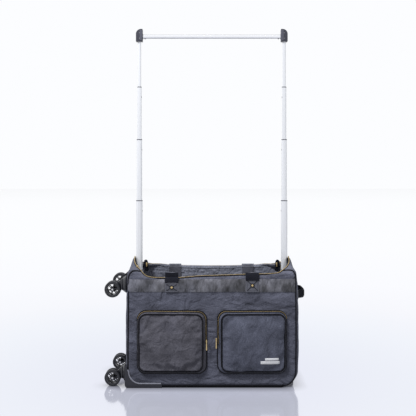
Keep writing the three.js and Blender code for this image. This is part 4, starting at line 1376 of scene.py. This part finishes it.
@dataclass
class Straps(SubAssembly):
    """Straps sewn to the band, which come over the lip, and the carry loops that hang from them."""

    skin: Skin
    width: float = 38.0
    thickness: float = 2.6
    middle: float = 117.0
    hinge: float = 334.0
    hinge_out: float = 102.0
    tab_drop: float = 55.0

    def build(self) -> None:
        """Makes the straps, stitches, rivets and loops at the front and the back."""
        for face, sign in (("front", -1), ("back", 1)):
            for side, x in (("left", -self.middle), ("right", self.middle)):
                self._strap(f"{face}_{side}", sign, x)
            self._loop(face, sign)

    def _strap(self, name: str, sign: int, x: float) -> None:
        """One strap: a tab on the band, a fold over the zip with a black strip of painted shade below the lip, and an
        end at the loop's hinge beside a tongue, dark at the front as painted shade.
        """
        def skin_y(z: float) -> float:
            """Distance of the bag's surface from the middle at this height."""
            place = 0.5 + x / 380 if sign < 0 else 4.5 - x / 380
            point, _ = self.skin.at(np.array([np.clip(place, 0.02, 7.98)]), np.array([z]))
            return abs(float(point[0, 1]))

        low = self.hinge - self.tab_drop
        reach = self.skin.straight_run[0]
        u = (x + reach) / (2 * reach) if sign < 0 else 4 + (reach - x) / (2 * reach)
        lip = float(self.skin.edge(np.array([u]))[0, 2])
        tab = [(skin_y(z) + 3.4, z) for z in (low, low + 8, low + 18, low + 28, lip - 12)]
        over = lip + (3.4 if sign < 0 else 1.0)
        top = skin_y(lip - 1)
        fold = [(skin_y(lip - 5) + 3.2, lip - 6.0), (top + 2.6, lip - 1.0), (top + 0.2, over - 0.6),
                (top - 3.6, over), (top - 7.0, over - 2.0), (top - 8.6, over - 7.0)]
        path = through([(x, sign * away, z) for away, z in tab + fold], 46, 2)
        tangent = np.gradient(path, axis=0)
        facing = np.cross(tangent, np.array([sign * -1.0, 0, 0]))
        self.add(f"{name}_strap", sweep(path, flat_section(self.width, self.thickness, 0.5, 12), facing), STRAP)
        facing = unit(facing)
        # A black strip over the strap below the lip is painted shade, where the strap passes under the fold of the lip.
        painted_shade_strip = sweep(path[16:34] - facing[16:34] * 1.7, flat_section(self.width + 1.0, 1.2, 0.3, 8), -facing[16:34])
        self.add(f"{name}_keeper", painted_shade_strip, WEBBING)
        # The front tongue is dark webbing over the loop's leg: painted shade below the loop's top, where the leg drops
        # into the bag. The back tongue matches the lining.
        heights = (lip - 8, lip, self.hinge - 3, self.hinge - 0.8)
        tongue_and_painted_shade = np.array([[x, sign * (self.hinge_out + 3.2), h] for h in heights])
        band = sweep(tongue_and_painted_shade, flat_section(self.width + 0.6, 1.4, 0.2, 8), np.array([0, float(sign), 0]))
        self.add(f"{name}_tongue", band, WEBBING if sign < 0 else LINING)
        self._stitches(name, sign, x, low, lip, skin_y)

    def _stitches(self, name: str, sign: int, x: float, low: float, lip: float,
                  skin_y: Callable[[float], float]) -> None:
        """A sewn square with a cross in it, and a rivet in the middle."""
        half = self.width / 2 - 4.0
        bottom, top = low + 4.0, lip - 15.0
        stand = skin_y((bottom + top) / 2) + 5.3
        corners = {"a": (-half, bottom), "b": (half, bottom), "c": (half, top), "d": (-half, top)}

        def line(first: str, second: str) -> Path:
            """Points between two corners."""
            t = np.linspace(0, 1, 24)[:, None]
            flat = np.array(corners[first]) * (1 - t) + np.array(corners[second]) * t
            ys = [sign * (skin_y(float(z)) + 5.2) for z in flat[:, 1]]
            return np.stack([x + flat[:, 0], np.array(ys), flat[:, 1]], axis=1)

        facing = np.array([0.0, float(sign), 0.0])
        for key, (first, second) in enumerate(("ab", "bc", "cd", "da", "ac", "bd")):
            self.repeat(f"{name}_stitches_{key}", line(first, second), facing, WEBBING, STITCH)
            if key > 3:
                groove = line(first, second) - facing * 0.2
                self.add(f"{name}_fold_{key}", sweep(groove, ring_section(0.75, 6)), WEBBING)
        centre = (x, sign * (stand + 0.2), (bottom + top) / 2)
        dome = [(0.02, 2.3), (1.6, 2.1), (3.0, 1.3), (3.7, 0.1), (3.7, -1.2), (0.02, -1.2)]
        ring = [(3.6, 0.6), (5.4, 0.7), (5.9, 0.0), (5.9, -1.0), (3.6, -1.0)]
        self.add(f"{name}_rivet", revolve(dome, "y", centre, 24, sign), ZIP_METAL)
        self.add(f"{name}_rivet_washer", revolve(ring, "y", centre, 24, sign), WEBBING)

    def _loop(self, face: str, sign: int) -> None:
        """A carry loop: two legs and a padded grip, hinged at the lip."""
        node = f"carry_handle_{face}"
        low, high = self.layout.box(node)
        y = (low[1] + high[1]) / 2
        bottom = low[2] + 16.0
        corner = 24.0
        angle = np.linspace(0, math.pi / 2, 9)
        reach = self.middle
        left = [(-reach, self.hinge + 1.2 * -sign), (-reach, self.hinge - 14), (-reach, bottom + corner + 8)]
        turn = [(-reach + corner * (1 - math.cos(a)), bottom + corner * (1 - math.sin(a))) for a in angle]
        half = left + turn + [(x, bottom) for x in np.linspace(-reach + corner + 10, -10, 9)]
        line = np.array(half + [(-x, z) for x, z in reversed(half)])
        path = np.stack([line[:, 0], np.full(len(line), y), line[:, 1]], axis=1)
        grip = smooth(88, 70, np.abs(path[:, 0]))
        width = 1 - 0.2 * smooth(100, 60, np.abs(path[:, 0]))
        scaled = taper(flat_section(self.width, 3.0, 0.0, 12), width, 1 + 0.9 * grip)
        self.add(f"{face}_carry_loop", sweep(path, scaled, np.array([0, float(sign), 0])), STRAP, f"handle_{face}",
                 [node], rounding=1)
        stitched = path[(np.abs(path[:, 0]) < 86)]
        for key, off in (("top", 9.0), ("foot", -9.0)):
            line = stitched + np.array([0, sign * -2.6, off])
            self.repeat(f"{face}_grip_stitches_{key}", line, np.array([0, -float(sign), 0]), WEBBING, STITCH,
                        f"handle_{face}")


@dataclass
class GrabHandle(SubAssembly):
    """The webbing grab handle on the grip end, sewn and capped at both feet."""

    thickness: float = 5.5

    def build(self) -> None:
        """Makes the bowed strap, its foot caps and their screws."""
        low, high = self.layout.box("end_grab_handle")
        z = (low[2] + high[2]) / 2
        width = high[2] - low[2]
        half, reach, wall = (high[1] - low[1]) / 2, high[0] - 3.0, low[0] + 1.6
        foot = [(2, wall), (16, wall + 0.5), (22, wall + 6), (36, reach - 2.5), (48, reach)]
        corners = [(inset - half, x) for inset, x in foot] + [(0, reach + 0.4)]
        corners += [(half - inset, x) for inset, x in reversed(foot)]
        path = through([(x, y, z) for y, x in corners], 61, 6)
        facing = np.cross(np.array([0, 0, 1.0]), np.gradient(path, axis=0)) * -1
        middle = smooth(34, 22, np.abs(path[:, 1]))
        scaled = taper(flat_section(width, 3.4, 0.0, 12), 1 - 0.14 * middle, 1 + 0.6 * middle)
        self.add("end_grab_strap", sweep(path, scaled, facing), WEBBING, replaces=["end_grab_handle"], rounding=1)
        for key, y in (("front", -half + 9), ("back", half - 9)):
            outline = rounded_outline(16, width + 2, 4, 2) + np.array([y, z])
            self.add(f"grab_foot_{key}", plate(outline, "x", wall - 0.4, wall + 4.6), CASTER_PLASTIC, bevel=1.4)
            line = np.stack([np.full(2, wall + 4.6), np.full(2, y), np.array([z - 7.0, z + 7.0])], axis=1)
            self.repeat(f"grab_screws_{key}", line, np.array([1.0, 0, 0]), AXLE_STEEL,
                        Repeat(14.0, 4.6, 4.6, 1.6, Bead.ROUND))
        ribs = path[18:43]
        ribs_out = facing[18:43]
        self.repeat("grab_grip_ribs", ribs + unit(ribs_out) * 2.4, ribs_out, PIPING,
                    Repeat(4.0, 1.6, width * 0.7, 1.2, Bead.ROUND))


# --------------------------------------------------------------------------- rail


@dataclass
class Rail(SubAssembly):
    """The telescopic rail: smooth tubes with collars, lock pins, end caps and the hanging bar."""

    wall: float = 1.0
    collar_height: float = 2.6
    collar_rise: float = 0.85
    lock_drop: float = 31.0

    def build(self) -> None:
        """Makes both poles and the bar."""
        for label, sign in (("left", -1), ("right", 1)):
            self._pole(label, sign)
            self._cap(label, sign)
        self._bar()

    def _outline(self, width: float, depth: float, count: int = 56) -> np.ndarray:
        """A tube's section with very round corners."""
        line = rounded_outline(width, depth, 0.42 * depth, (2 * (width + depth)) / 60)
        return spread(line, count)

    def _hollow(self, x: float, width: float, depth: float, wall: float, bottom: float, top: float) -> Shape:
        """A tube with softly broken ends."""
        rings = []
        chamfer = 0.35
        outside = [(bottom, chamfer), (bottom + chamfer, 0.0), (top - chamfer, 0.0), (top, chamfer)]
        inside = [(top, wall - 0.1), (bottom, wall - 0.1)]
        for z, inset in outside + inside:
            ring = self._outline(width - 2 * inset, depth - 2 * inset)
            rings.append(np.stack([ring[:, 0] + x, ring[:, 1], np.full(len(ring), z)], axis=1))
        return grid(np.stack(rings, axis=1), True, True)

    def _pole(self, label: str, sign: int) -> None:
        """One pole: the fixed sleeve, four tubes, collars and lock pins."""
        x = sign * self.layout.pole
        nodes = [f"rail_sleeve_{label}"] + [f"rail_tube_{k}_{label}" for k in range(1, 5)]
        bodies = ["case"] + [f"stage_{k}_{label}" for k in range(1, 4)] + ["hanger"]
        for stage, (node, body) in enumerate(zip(nodes, bodies)):
            low, high = self.layout.box(node)
            width, depth = high[0] - low[0], high[1] - low[1]
            bottom = low[2] + (9.0 if stage == 0 else 0.0)
            tube = self._hollow(x, width, depth, self.wall, bottom, high[2])
            self.add(f"{node}_drawn", tube, RAIL_METAL, body, [node])
            if stage == 4:
                continue
            rim = high[2] + self.collar_rise
            collar = self._hollow(x, width + 0.5, depth + 0.5, 1.25, rim - self.collar_height, rim)
            lip = self._hollow(x, width - 2.2, depth - 2.2, 0.45, high[2] - 9, high[2] - 1.2)
            self.add(f"{node}_collar", Shape.joined(collar, lip), COLLAR_PLASTIC, body)
            if stage in (1, 2, 3):
                self._lock(f"{stage}_{label}", sign, x, width, high[2] - self.lock_drop, body, stage)

    def _lock(self, name: str, sign: int, x: float, width: float, z: float, body: str, stage: int) -> None:
        """A domed lock pin in a pressed ring on the side that faces the other pole."""
        face = x - sign * width / 2
        dome = [(0.02, 0.55), (1.3, 0.45), (2.1, 0.15), (2.35, -0.3), (2.35, -0.7), (0.02, -0.7)]
        ring = [(2.45, 0.15), (2.8, 0.12), (3.05, -0.1), (3.05, -0.4), (2.45, -0.4)]
        centre = (face, 0, z)
        node = [f"rail_button_{name}"] if stage < 3 else []
        pin_body = f"lock_{name}" if stage < 3 else body
        self.add(f"lock_pin_{name}", revolve(dome, "x", centre, 24, -sign), LOCK_METAL, pin_body, node)
        self.add(f"lock_ring_{name}", revolve(ring, "x", centre, 24, -sign), COLLAR_PLASTIC, body)

    def _cap(self, label: str, sign: int) -> None:
        """The moulded end cap with a lighter panel of painted light along its inner edge, a rosette round the bar and
        two screws.
        """
        node = f"rail_cap_{label}"
        low, high = self.layout.box(node)
        self.refine(node, CAP_PLASTIC, "hanger", 0.9, f"{node}_moulding")
        inner = high[0] if sign < 0 else low[0]
        near, far = sorted((inner - sign * 0.2, inner + sign * 8.5))
        # A lighter plate along the cap's inner edge: painted light for the cap's lit inner side.
        panel = rounded_outline(far - near, high[2] - low[2] - 6.0, 2.0, 1.5)
        panel = panel + np.array([(near + far) / 2, (low[2] + high[2]) / 2])
        self.add(f"cap_painted_light_{label}", plate(panel, "y", low[1] - 0.7, low[1] + 1.0), CAP_PAINTED_LIGHT, "hanger", bevel=0.4)
        bar_low, bar_high = self.layout.box("rail_crossbar")
        z = (bar_low[2] + bar_high[2]) / 2
        reach = (bar_high[2] - bar_low[2]) / 2
        rosette = [(reach + 0.1, 1.6), (reach + 1.4, 1.5), (reach + 2.2, 0.4), (reach + 2.2, -1.0), (reach + 0.1, -1.0)]
        turned = revolve(rosette, "x", (inner, 0, z), 40, -sign)
        self.add(f"bar_rosette_{label}", turned, COLLAR_PLASTIC, "hanger")
        screws = np.array([[inner + sign * 9.0, low[1], low[2] + up] for up in (9, 26)])
        self.repeat(f"cap_screws_{label}", screws, np.array([0, -1.0, 0]), LOCK_METAL,
                    Repeat(17.0, 3.4, 3.4, 0.9, Bead.ROUND), "hanger")

    def _bar(self) -> None:
        """The hanging bar with a fine groove along each side, dark strips of painted shade along its lower and upper
        side, and a hook stop near each end.
        """
        low, high = self.layout.box("rail_crossbar")
        radius = (high[2] - low[2]) / 2
        z = (low[2] + high[2]) / 2
        angle = np.linspace(0, 2 * math.pi, 72, endpoint=False)
        grooves = ((0.5, 205), (0.3, 140))
        groove = sum(deep * np.exp(-(((angle - math.radians(turn)) / 0.05) ** 2)) for deep, turn in grooves)
        section = np.stack([(radius - groove) * np.cos(angle), (radius - groove) * np.sin(angle)], axis=1)
        path = np.stack([np.linspace(low[0], high[0], 24), np.zeros(24), np.full(24, z)], axis=1)
        bar = sweep(path, section, np.array([0, 0, 1.0]))
        self.add("hanging_bar", bar, BAR_METAL, "hanger", ["rail_crossbar"])
        # Dark strips along the bar's lower and upper side: painted shade lines where the round bar's shading falls.
        for name, turn, wide in (("lower", -150, 0.6), ("upper", 35, 0.3)):
            painted_shade_line = path + radius * np.array([0, -abs(math.sin(math.radians(turn))), math.cos(math.radians(turn))])
            self.add(f"bar_{name}_seam", sweep(painted_shade_line, ring_section(wide, 8)), COLLAR_PLASTIC, "hanger")
        stops = []
        for sign in (-1, 1):
            stop = [(0.02, 0.0), (1.7, 0.0), (1.9, -1.0), (1.2, -2.2), (0.02, -2.4)]
            stops.append(revolve(stop, "z", (sign * (self.layout.pole - 17.5), 0, low[2] + 0.4), 20))
        self.add("bar_stops", Shape.joined(*stops), LOCK_METAL, "hanger")


# --------------------------------------------------------------------------- casters


@dataclass
class Caster(SubAssembly):
    """A twin-wheel swivel caster: mount, hooded fork, axle and two spoked wheels."""

    label: str
    spokes: int = 6

    def build(self) -> None:
        """Makes every piece of one caster."""
        mount_low, mount_high = self.layout.box(f"caster_mount_{self.label}")
        self.axis_y = (mount_low[1] + mount_high[1]) / 2
        self.axis_z = (mount_low[2] + mount_high[2]) / 2
        axle_low, axle_high = self.layout.box(f"caster_axle_{self.label}")
        self.axle = (axle_low + axle_high) / 2
        self._mount(mount_low, mount_high)
        self._fork()
        self._axle(axle_low, axle_high)
        for key in "ab":
            self._wheel(key)

    def _mount(self, low: np.ndarray, high: np.ndarray) -> None:
        """The round housing with a stepped rim, screws and a bearing seat."""
        radius = (high[2] - low[2]) / 2
        thick = high[0] - low[0]
        profile = [(0.02, 0.0), (radius - 0.8, 0.0), (radius, -0.9), (radius, -2.6), (radius - 1.6, -4.0),
                   (radius - 3.4, -thick + 3.2), (radius - 5.4, -thick + 0.9), (radius - 7.6, -thick), (12.0, -thick),
                   (11.0, -thick + 0.8), (0.02, -thick + 0.8)]
        housing = revolve(profile, "x", (high[0], self.axis_y, self.axis_z), 56)
        self.add(f"caster_housing_{self.label}", housing, CASTER_PLASTIC, replaces=[f"caster_mount_{self.label}"])
        angle = np.linspace(0, 2 * math.pi, 6, endpoint=False) + 0.5
        ring = np.stack([np.full(6, low[0] + 2.2), self.axis_y + (radius - 4.6) * np.cos(angle),
                         self.axis_z + (radius - 4.6) * np.sin(angle)], axis=1)
        self.repeat(f"caster_screws_{self.label}", ring, np.array([-1.0, 0, 0]), AXLE_STEEL,
                    Repeat(radius - 4.7, 3.6, 3.6, 2.4, Bead.ROUND), closed=True)

    def _fork(self) -> None:
        """Swivel disc, arm between the wheels and a hood over them."""
        node = f"caster_fork_{self.label}"
        _, high = self.layout.box(node)
        body = f"caster_{self.label}"
        disc = [(0.02, 0.0), (17.2, 0.0), (18.0, -0.8), (18.0, -2.6), (16.8, -3.6), (0.02, -3.6)]
        turned = revolve(disc, "x", (high[0], self.axis_y, self.axis_z), 48)
        self.refine(node, CASTER_PLASTIC, body, 1.0)
        self.add(f"caster_turntable_{self.label}", turned, CASTER_PLASTIC, body)
        angle = np.radians(np.linspace(-8, 118, 26))
        radius = 17.5
        path = np.stack([self.axle[0] + radius * np.cos(angle), np.full(26, self.axis_y),
                         self.axle[2] + radius * np.sin(angle)], axis=1)
        facing = np.stack([np.cos(angle), np.zeros(26), np.sin(angle)], axis=1)
        spine = sweep(path, flat_section(5.0, 3.0, 0.0, 4), facing)
        self.add(f"caster_spine_{self.label}", spine, CASTER_PLASTIC, body)

    def _axle(self, low: np.ndarray, high: np.ndarray) -> None:
        """The axle with domed bright ends."""
        half = (high[1] - low[1]) / 2
        profile = [(0.02, -half - 0.6), (2.6, -half - 0.3), (3.2, -half + 0.6), (2.5, -half + 0.7), (2.5, half - 0.7),
                   (3.2, half - 0.6), (2.6, half + 0.3), (0.02, half + 0.6)]
        axle = revolve(profile, "y", tuple(self.axle), 28)
        self.add(f"caster_pin_{self.label}", axle, AXLE_STEEL, f"caster_{self.label}", [f"caster_axle_{self.label}"])

    def _wheel(self, key: str) -> None:
        """One wheel: a rounded tyre, a dished rim, spokes and a hub."""
        node = f"wheel_{self.label}_{key}"
        low, high = self.layout.box(node)
        centre = (low + high) / 2
        radius = (high[2] - low[2]) / 2
        half = (high[1] - low[1]) / 2
        out = -1 if key == "a" else 1
        tyre = [(radius - 5.2, -half), (radius - 2.2, -half), (radius - 0.7, -half + 1.1), (radius, -half + 3.0),
                (radius, half - 3.0), (radius - 0.7, half - 1.1), (radius - 2.2, half), (radius - 5.2, half)]
        rim = [(radius - 8.0, -half + 1.0), (radius - 5.3, -half + 0.2), (radius - 5.3, half - 0.2),
               (radius - 8.0, half - 1.0)]
        hub = [(2.9, -half - 0.2), (5.6, -half), (6.6, -half + 1.2), (6.6, half - 1.2), (5.6, half), (2.9, half + 0.2)]
        body = f"roller_{self.label}_{key}"
        self.add(f"tyre_{self.label}_{key}", revolve(tyre, "y", centre, 56), TYRE, body, [node])
        parts = [revolve(profile, "y", centre, 48) for profile in (rim, hub)]
        for k in range(self.spokes):
            angle = 2 * math.pi * (k + 0.25) / self.spokes
            direction = np.array([math.cos(angle), 0, math.sin(angle)])
            path = centre + direction * np.array([[5.5], [9.0], [radius - 7.2]])
            scaled = taper(flat_section(2.6, 2 * half - 2.6, 0.0, 4), (1.3, 0.9, 1.2))
            parts.append(sweep(path, scaled, np.array([0, float(out), 0])))
        self.add(f"wheel_centre_{self.label}_{key}", Shape.joined(*parts), CASTER_PLASTIC, body)


# --------------------------------------------------------------------------- skid, feet, pull handle


@dataclass
class Underside(SubAssembly):
    """The moulded corner skid with its raised rim, which is painted lighter as a highlight, and the rubber feet."""

    skin: Skin
    rim: float = 13.0
    bend: float = 34.0
    cheek: float = 2.6

    def build(self) -> None:
        """Makes the skid, its rims and the feet."""
        low, high = self.layout.box("kick_plate")
        left, foot, right, top = low[0], low[2], high[0], high[2]
        thick = 3.0
        corner = 9.0
        angle = np.linspace(math.pi, 1.5 * math.pi, 12)
        turn = np.stack([1 + np.cos(angle), 1 + np.sin(angle)], axis=1)
        arc = np.array([left, foot]) + thick / 2 + corner * turn
        line = np.concatenate([[[left + thick / 2, top]], [[left + thick / 2, top - 14]], arc,
                               [[left + 60, foot + thick / 2]], [[right, foot + thick / 2]]])
        path = np.stack([line[:, 0], np.zeros(len(line)), line[:, 1]], axis=1)
        tangent = np.gradient(path, axis=0)
        facing = np.cross(tangent, np.array([0, 1.0, 0]))
        depth = high[1] - low[1]
        plate_shape = sweep(path, flat_section(depth + 2.0, thick, 0.0, 8), facing)
        self.add("skid_plate", plate_shape, SKID, replaces=["kick_plate"], bevel=0.5)
        for name, sign in (("front", -1), ("back", 1)):
            self._cheek(name, sign, left, foot, right, top)
        for name in ("front", "back"):
            self._foot(name)

    def _cheek(self, name: str, sign: int, left: float, foot: float, right: float, top: float) -> None:
        """The skid's side wall: a curved rim that follows the bag's bottom corner."""
        inner_x, inner_z = left + self.rim - 1.0, foot + self.rim
        angle = np.linspace(math.pi, 1.5 * math.pi, 18)
        curve = np.stack([inner_x + self.bend + self.bend * np.cos(angle),
                          inner_z + self.bend + self.bend * np.sin(angle)], axis=1)
        corner = 10.0
        outer_arc = np.stack([left + corner + corner * np.cos(angle), foot + corner + corner * np.sin(angle)], axis=1)
        inner = np.concatenate([[[left + 5.0, top - 2.0], [inner_x - 3.2, top - 13]], curve,
                                [[right - 3.0, inner_z], [right, inner_z - 3]]])
        outline = np.concatenate([[[left, top - 1.0]], outer_arc, [[right, foot]], inner[::-1]])
        face = self.layout.half_depth
        lows, highs = sorted((sign * (face - 1.5), sign * (face + self.cheek)))
        self.add(f"skid_cheek_{name}", plate(outline, "y", lows, highs), SKID, bevel=0.9)
        bead = inner[1:-1]
        path = np.stack([bead[:, 0], np.full(len(bead), sign * (face + self.cheek - 0.3)), bead[:, 1]], axis=1)
        # The rim bead's lighter colour is a painted highlight.
        self.add(f"skid_rim_{name}", sweep(path, ring_section(2.2, 12)), SKID_RIM_HIGHLIGHT)

    def _foot(self, name: str) -> None:
        """A rubber foot that reaches up to the bag's bottom bend."""
        node = f"{name}_foot"
        low, high = self.layout.box(node)
        outline = np.array([(low[0], 0.2), (high[0] - 5, 0.2), (high[0] - 1, 3.0), (high[0], 13.0),
                            (high[0] - 9, 8.0), (low[0], 4.2)])
        self.add(f"{node}_pad", plate(outline, "y", low[1], high[1]), RUBBER, replaces=[node], bevel=1.0)


@dataclass
class PullHandle(SubAssembly):
    """The trolley handle: moulded cup, grip, button and drawn tubes."""

    def build(self) -> None:
        """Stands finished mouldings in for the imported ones."""
        self.refine("trolley_cup", CASTER_PLASTIC, "case", 0.8)
        self.refine("trolley_grip", CASTER_PLASTIC, "trolley", 1.8)
        self.refine("trolley_button", CAP_PLASTIC, "trolley_release", 1.0)
        for label in ("lower", "upper"):
            for name, body in (("outer", "case"), ("inner", "trolley")):
                self.refine(f"trolley_{name}_tube_{label}", TROLLEY_METAL, body, 0.25)
        low, high = self.layout.box("trolley_cup")
        z = (low[2] + high[2]) / 2
        y = (low[1] + high[1]) / 2
        outline = rounded_outline(high[1] - low[1] + 9, high[2] - low[2] + 9, 8, 2.5)
        hole = rounded_outline(high[1] - low[1] - 3, high[2] - low[2] - 3, 2.5, 2.5)
        count = 120
        rings = []
        for line, x in ((hole, 0.0), (outline, -0.6), (outline, 1.6), (outline * 0.99, 2.6), (hole * 1.01, 2.6)):
            flat = spread(line, count)
            rings.append(np.stack([np.full(count, high[0] + x), flat[:, 0] + y, flat[:, 1] + z], axis=1))
        self.add("trolley_bezel", grid(np.stack(rings, axis=1), True, True), CASTER_PLASTIC)
        corners = np.array([[high[0] + 2.6, y - 17, low[2] + 3], [high[0] + 2.6, y + 17, low[2] + 3],
                            [high[0] + 2.6, y + 17, high[2] - 3], [high[0] + 2.6, y - 17, high[2] - 3]])
        for key, pair in (("foot", corners[:2]), ("top", corners[2:])):
            self.repeat(f"trolley_bezel_screws_{key}", pair, np.array([1.0, 0, 0]), AXLE_STEEL,
                        Repeat(34.0, 3.6, 3.6, 1.2, Bead.ROUND))


@dataclass
class BackPanel(SubAssembly):
    """What is sewn to the back: a tunnel seam over the pull tubes and a slip pocket with a zip."""

    skin: Skin
    seams: tuple[float, float] = (62.0, 256.0)
    zip_height: float = 230.0

    def build(self) -> None:
        """Makes the seams, the zip and its slider."""
        u = np.linspace(4.04, 4.96, 120)
        for key, z in (("low", self.seams[0]), ("high", self.seams[1])):
            line, facing = self.skin.at(u, np.full(u.shape, z), 0.5)
            self.add(f"back_seam_{key}", sweep(line, flat_section(7.0, 1.2, 0.3, 6), facing), WEBBING)
            for off in (-2.2, 2.2):
                stitched, out = self.skin.at(u, np.full(u.shape, z + off), 1.4)
                self.repeat(f"back_stitches_{key}_{'up' if off > 0 else 'down'}", stitched, out, STRAP, STITCH)
        u = np.linspace(4.16, 4.84, 90)
        line, facing = self.skin.at(u, np.full(u.shape, self.zip_height), 0.6)
        self.add("back_zip_tape", sweep(line, flat_section(16.0, 1.2, 0.2, 8), facing), WEBBING)
        teeth, out = self.skin.at(u[2:-2], np.full(u[2:-2].shape, self.zip_height), 1.9)
        self.repeat("back_zip_teeth", teeth, out, ZIP_METAL, FINE_TEETH)
        spot, out = self.skin.at(np.array([4.18]), np.array([self.zip_height]), 3.0)
        x, y, z = spot[0]
        back = np.array([0, 1.0, 0])
        run = np.array([[x + across, y + out, z] for across, out in ((-5, 0.6), (-2, 0.8), (2, 0.8), (5, 0.6))])
        hang = np.array([[x, y + out, z - down] for out, down in ((3.2, 0), (3.6, 8), (3.0, 20), (2.8, 26))])
        body = sweep(run, flat_section(6.0, 4.2, 0.4, 6), back)
        pull = sweep(hang, flat_section(4.0, 1.4, steps=6), back)
        self.add("back_zip_slider", Shape.joined(body, pull), ZIP_METAL, rounding=1)


# --------------------------------------------------------------------------- studio


@dataclass
class Studio:
    """Floor, light and camera."""

    layout: Layout
    eye_distance: float = 1950.0
    eye_height: float = 606.0
    eye_x: float = -11.6
    lens: float = 58.15
    shift: float = -0.0697
    fill: float = 0.34
    bounce: float = 0.3
    mirror: float = 0.36
    fade_out: float = 4.0
    contact: float = 0.045

    def build(self) -> None:
        """Makes the floor, the world, the lights and the camera."""
        self._world()
        self._floor()
        self._lights()
        self._camera()
        view = bpy.context.scene.view_settings
        view.view_transform = "Standard"
        view.look = "None"
        view.exposure = 0.0
        view.gamma = 1.0

    def _world(self) -> None:
        """An even, very pale surround."""
        world = bpy.data.worlds.new("studio_surround")
        bpy.context.scene.world = world
        world.use_nodes = True
        tree = world.node_tree
        background = tree.nodes["Background"]
        background.inputs["Color"].default_value = linear(SKY)
        tree.links.new(self._weaker(tree, self.fill), background.inputs["Strength"])

    @staticmethod
    def _weaker(tree: bpy.types.NodeTree, share: float) -> bpy.types.NodeSocket:
        """Full strength to the eye, and that share of it as light that falls on the case."""
        diffuse = add_node(tree, "ShaderNodeLightPath").outputs["Is Diffuse Ray"]
        return map_range(tree, diffuse, (0.0, 1.0), (1.0, share))

    def _floor(self) -> None:
        """A pale floor that fades into the surround, darkens under the case and mirrors a little."""
        mesh = bpy.data.meshes.new("studio_floor")
        reach = 40.0
        corners = [(-reach, -reach, 0), (reach, -reach, 0), (reach, reach, 0), (-reach, reach, 0)]
        mesh.from_pydata(corners, [], [(0, 1, 2, 3)])
        floor = place_object("studio_floor", mesh)
        material = bpy.data.materials.new("studio_floor")
        material.use_nodes = True
        tree = material.node_tree
        tree.nodes.clear()
        where = add_node(tree, "ShaderNodeTexCoord").outputs["Object"]
        away = add_node(tree, "ShaderNodeVectorMath", {0: where}, operation="LENGTH").outputs["Value"]
        fade = add_node(tree, "ShaderNodeValToRGB", {"Fac": map_range(tree, away, (0.0, self.fade_out), (0.0, 1.0))})
        stops = ((0.0, (228, 232, 244)), (0.05, (232, 234, 246)), (0.13, (236, 239, 248)), (0.22, (241, 244, 251)),
                 (0.34, (247, 248, 253)), (0.5, (250, 251, 255)), (1.0, SKY))
        ends = fade.color_ramp.elements
        for position, colour in stops:
            first, last = ends[0], ends[len(ends) - 1]
            element = first if position == 0 else last if position == 1 else ends.new(position)
            shade = zip(linear(colour), linear(SKY))
            own = [(seen - self.mirror * sky) / (1 - self.mirror) for seen, sky in shade]
            element.color = (*own[:3], 1.0)
        contact = add_node(tree, "ShaderNodeAmbientOcclusion",
                           {"Distance": self.contact, "Color": fade.outputs["Color"]})
        glow = add_node(tree, "ShaderNodeEmission",
                        {"Color": contact.outputs["Color"], "Strength": self._weaker(tree, self.bounce)})
        mirror = add_node(tree, "ShaderNodeBsdfGlossy", {"Color": (1.0, 1.0, 1.0, 1.0), "Roughness": 0.1})
        blend = add_node(tree, "ShaderNodeMixShader", {0: self.mirror, 1: glow.outputs[0], 2: mirror.outputs[0]})
        add_node(tree, "ShaderNodeOutputMaterial", {"Surface": blend.outputs[0]})
        mesh.materials.append(material)

    def _lights(self) -> None:
        """A key light above the left of the front, a soft one overhead and a weak one from the right."""
        for name, place, size, power in (
            ("key_light", (-1.2, -1.3, 2.4), 0.6, 78.0),
            ("top_light", (0.4, 0.3, 2.9), 1.2, 40.0),
            ("side_light", (2.3, -1.0, 0.9), 0.8, 8.0),
        ):
            light = bpy.data.lights.new(name, "AREA")
            light.size = size
            light.energy = power
            holder = place_object(name, light)
            holder.visible_glossy = False
            holder.location = place
            aim = Vector((self.layout.middle_x, self.layout.middle_y, 0.35)) - Vector(place)
            holder.rotation_euler = aim.to_track_quat("-Z", "Y").to_euler()

    def _camera(self) -> None:
        """A level camera in front of the case, set a little off its middle."""
        camera = bpy.data.cameras.new("camera")
        camera.lens = self.lens
        camera.sensor_width = 36.0
        camera.shift_y = self.shift
        camera.clip_end = 60.0
        holder = place_object("camera", camera)
        eye = self.layout.place(np.array([self.eye_x, -self.eye_distance - self.layout.half_depth, self.eye_height]))
        holder.location = Vector(eye.tolist())
        holder.rotation_euler = (math.radians(90), 0, 0)
        bpy.context.scene.camera = holder


def main() -> None:
    """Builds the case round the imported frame."""
    logging.basicConfig(level=logging.INFO, format="%(name)s: %(message)s")
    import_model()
    layout = Layout.from_frame()
    skin = Skin(layout)
    Studio(layout).build()
    groups: list[SubAssembly] = [
        Bag(layout, skin),
        Pocket(layout, skin, "left", WORN_NYLON, 0.05),
        Pocket(layout, skin, "right", POCKET_NYLON, 0.02),
        Tag(layout),
        Straps(layout, skin),
        GrabHandle(layout),
        Rail(layout),
        *[Caster(layout, label) for label in ("low_front", "low_back", "high_front", "high_back")],
        Underside(layout, skin),
        PullHandle(layout),
        BackPanel(layout, skin),
    ]
    for group in groups:
        group.build()
        LOG.info("%s: %d pieces", type(group).__name__, len(group.made))


if __name__ == "__main__":
    main()
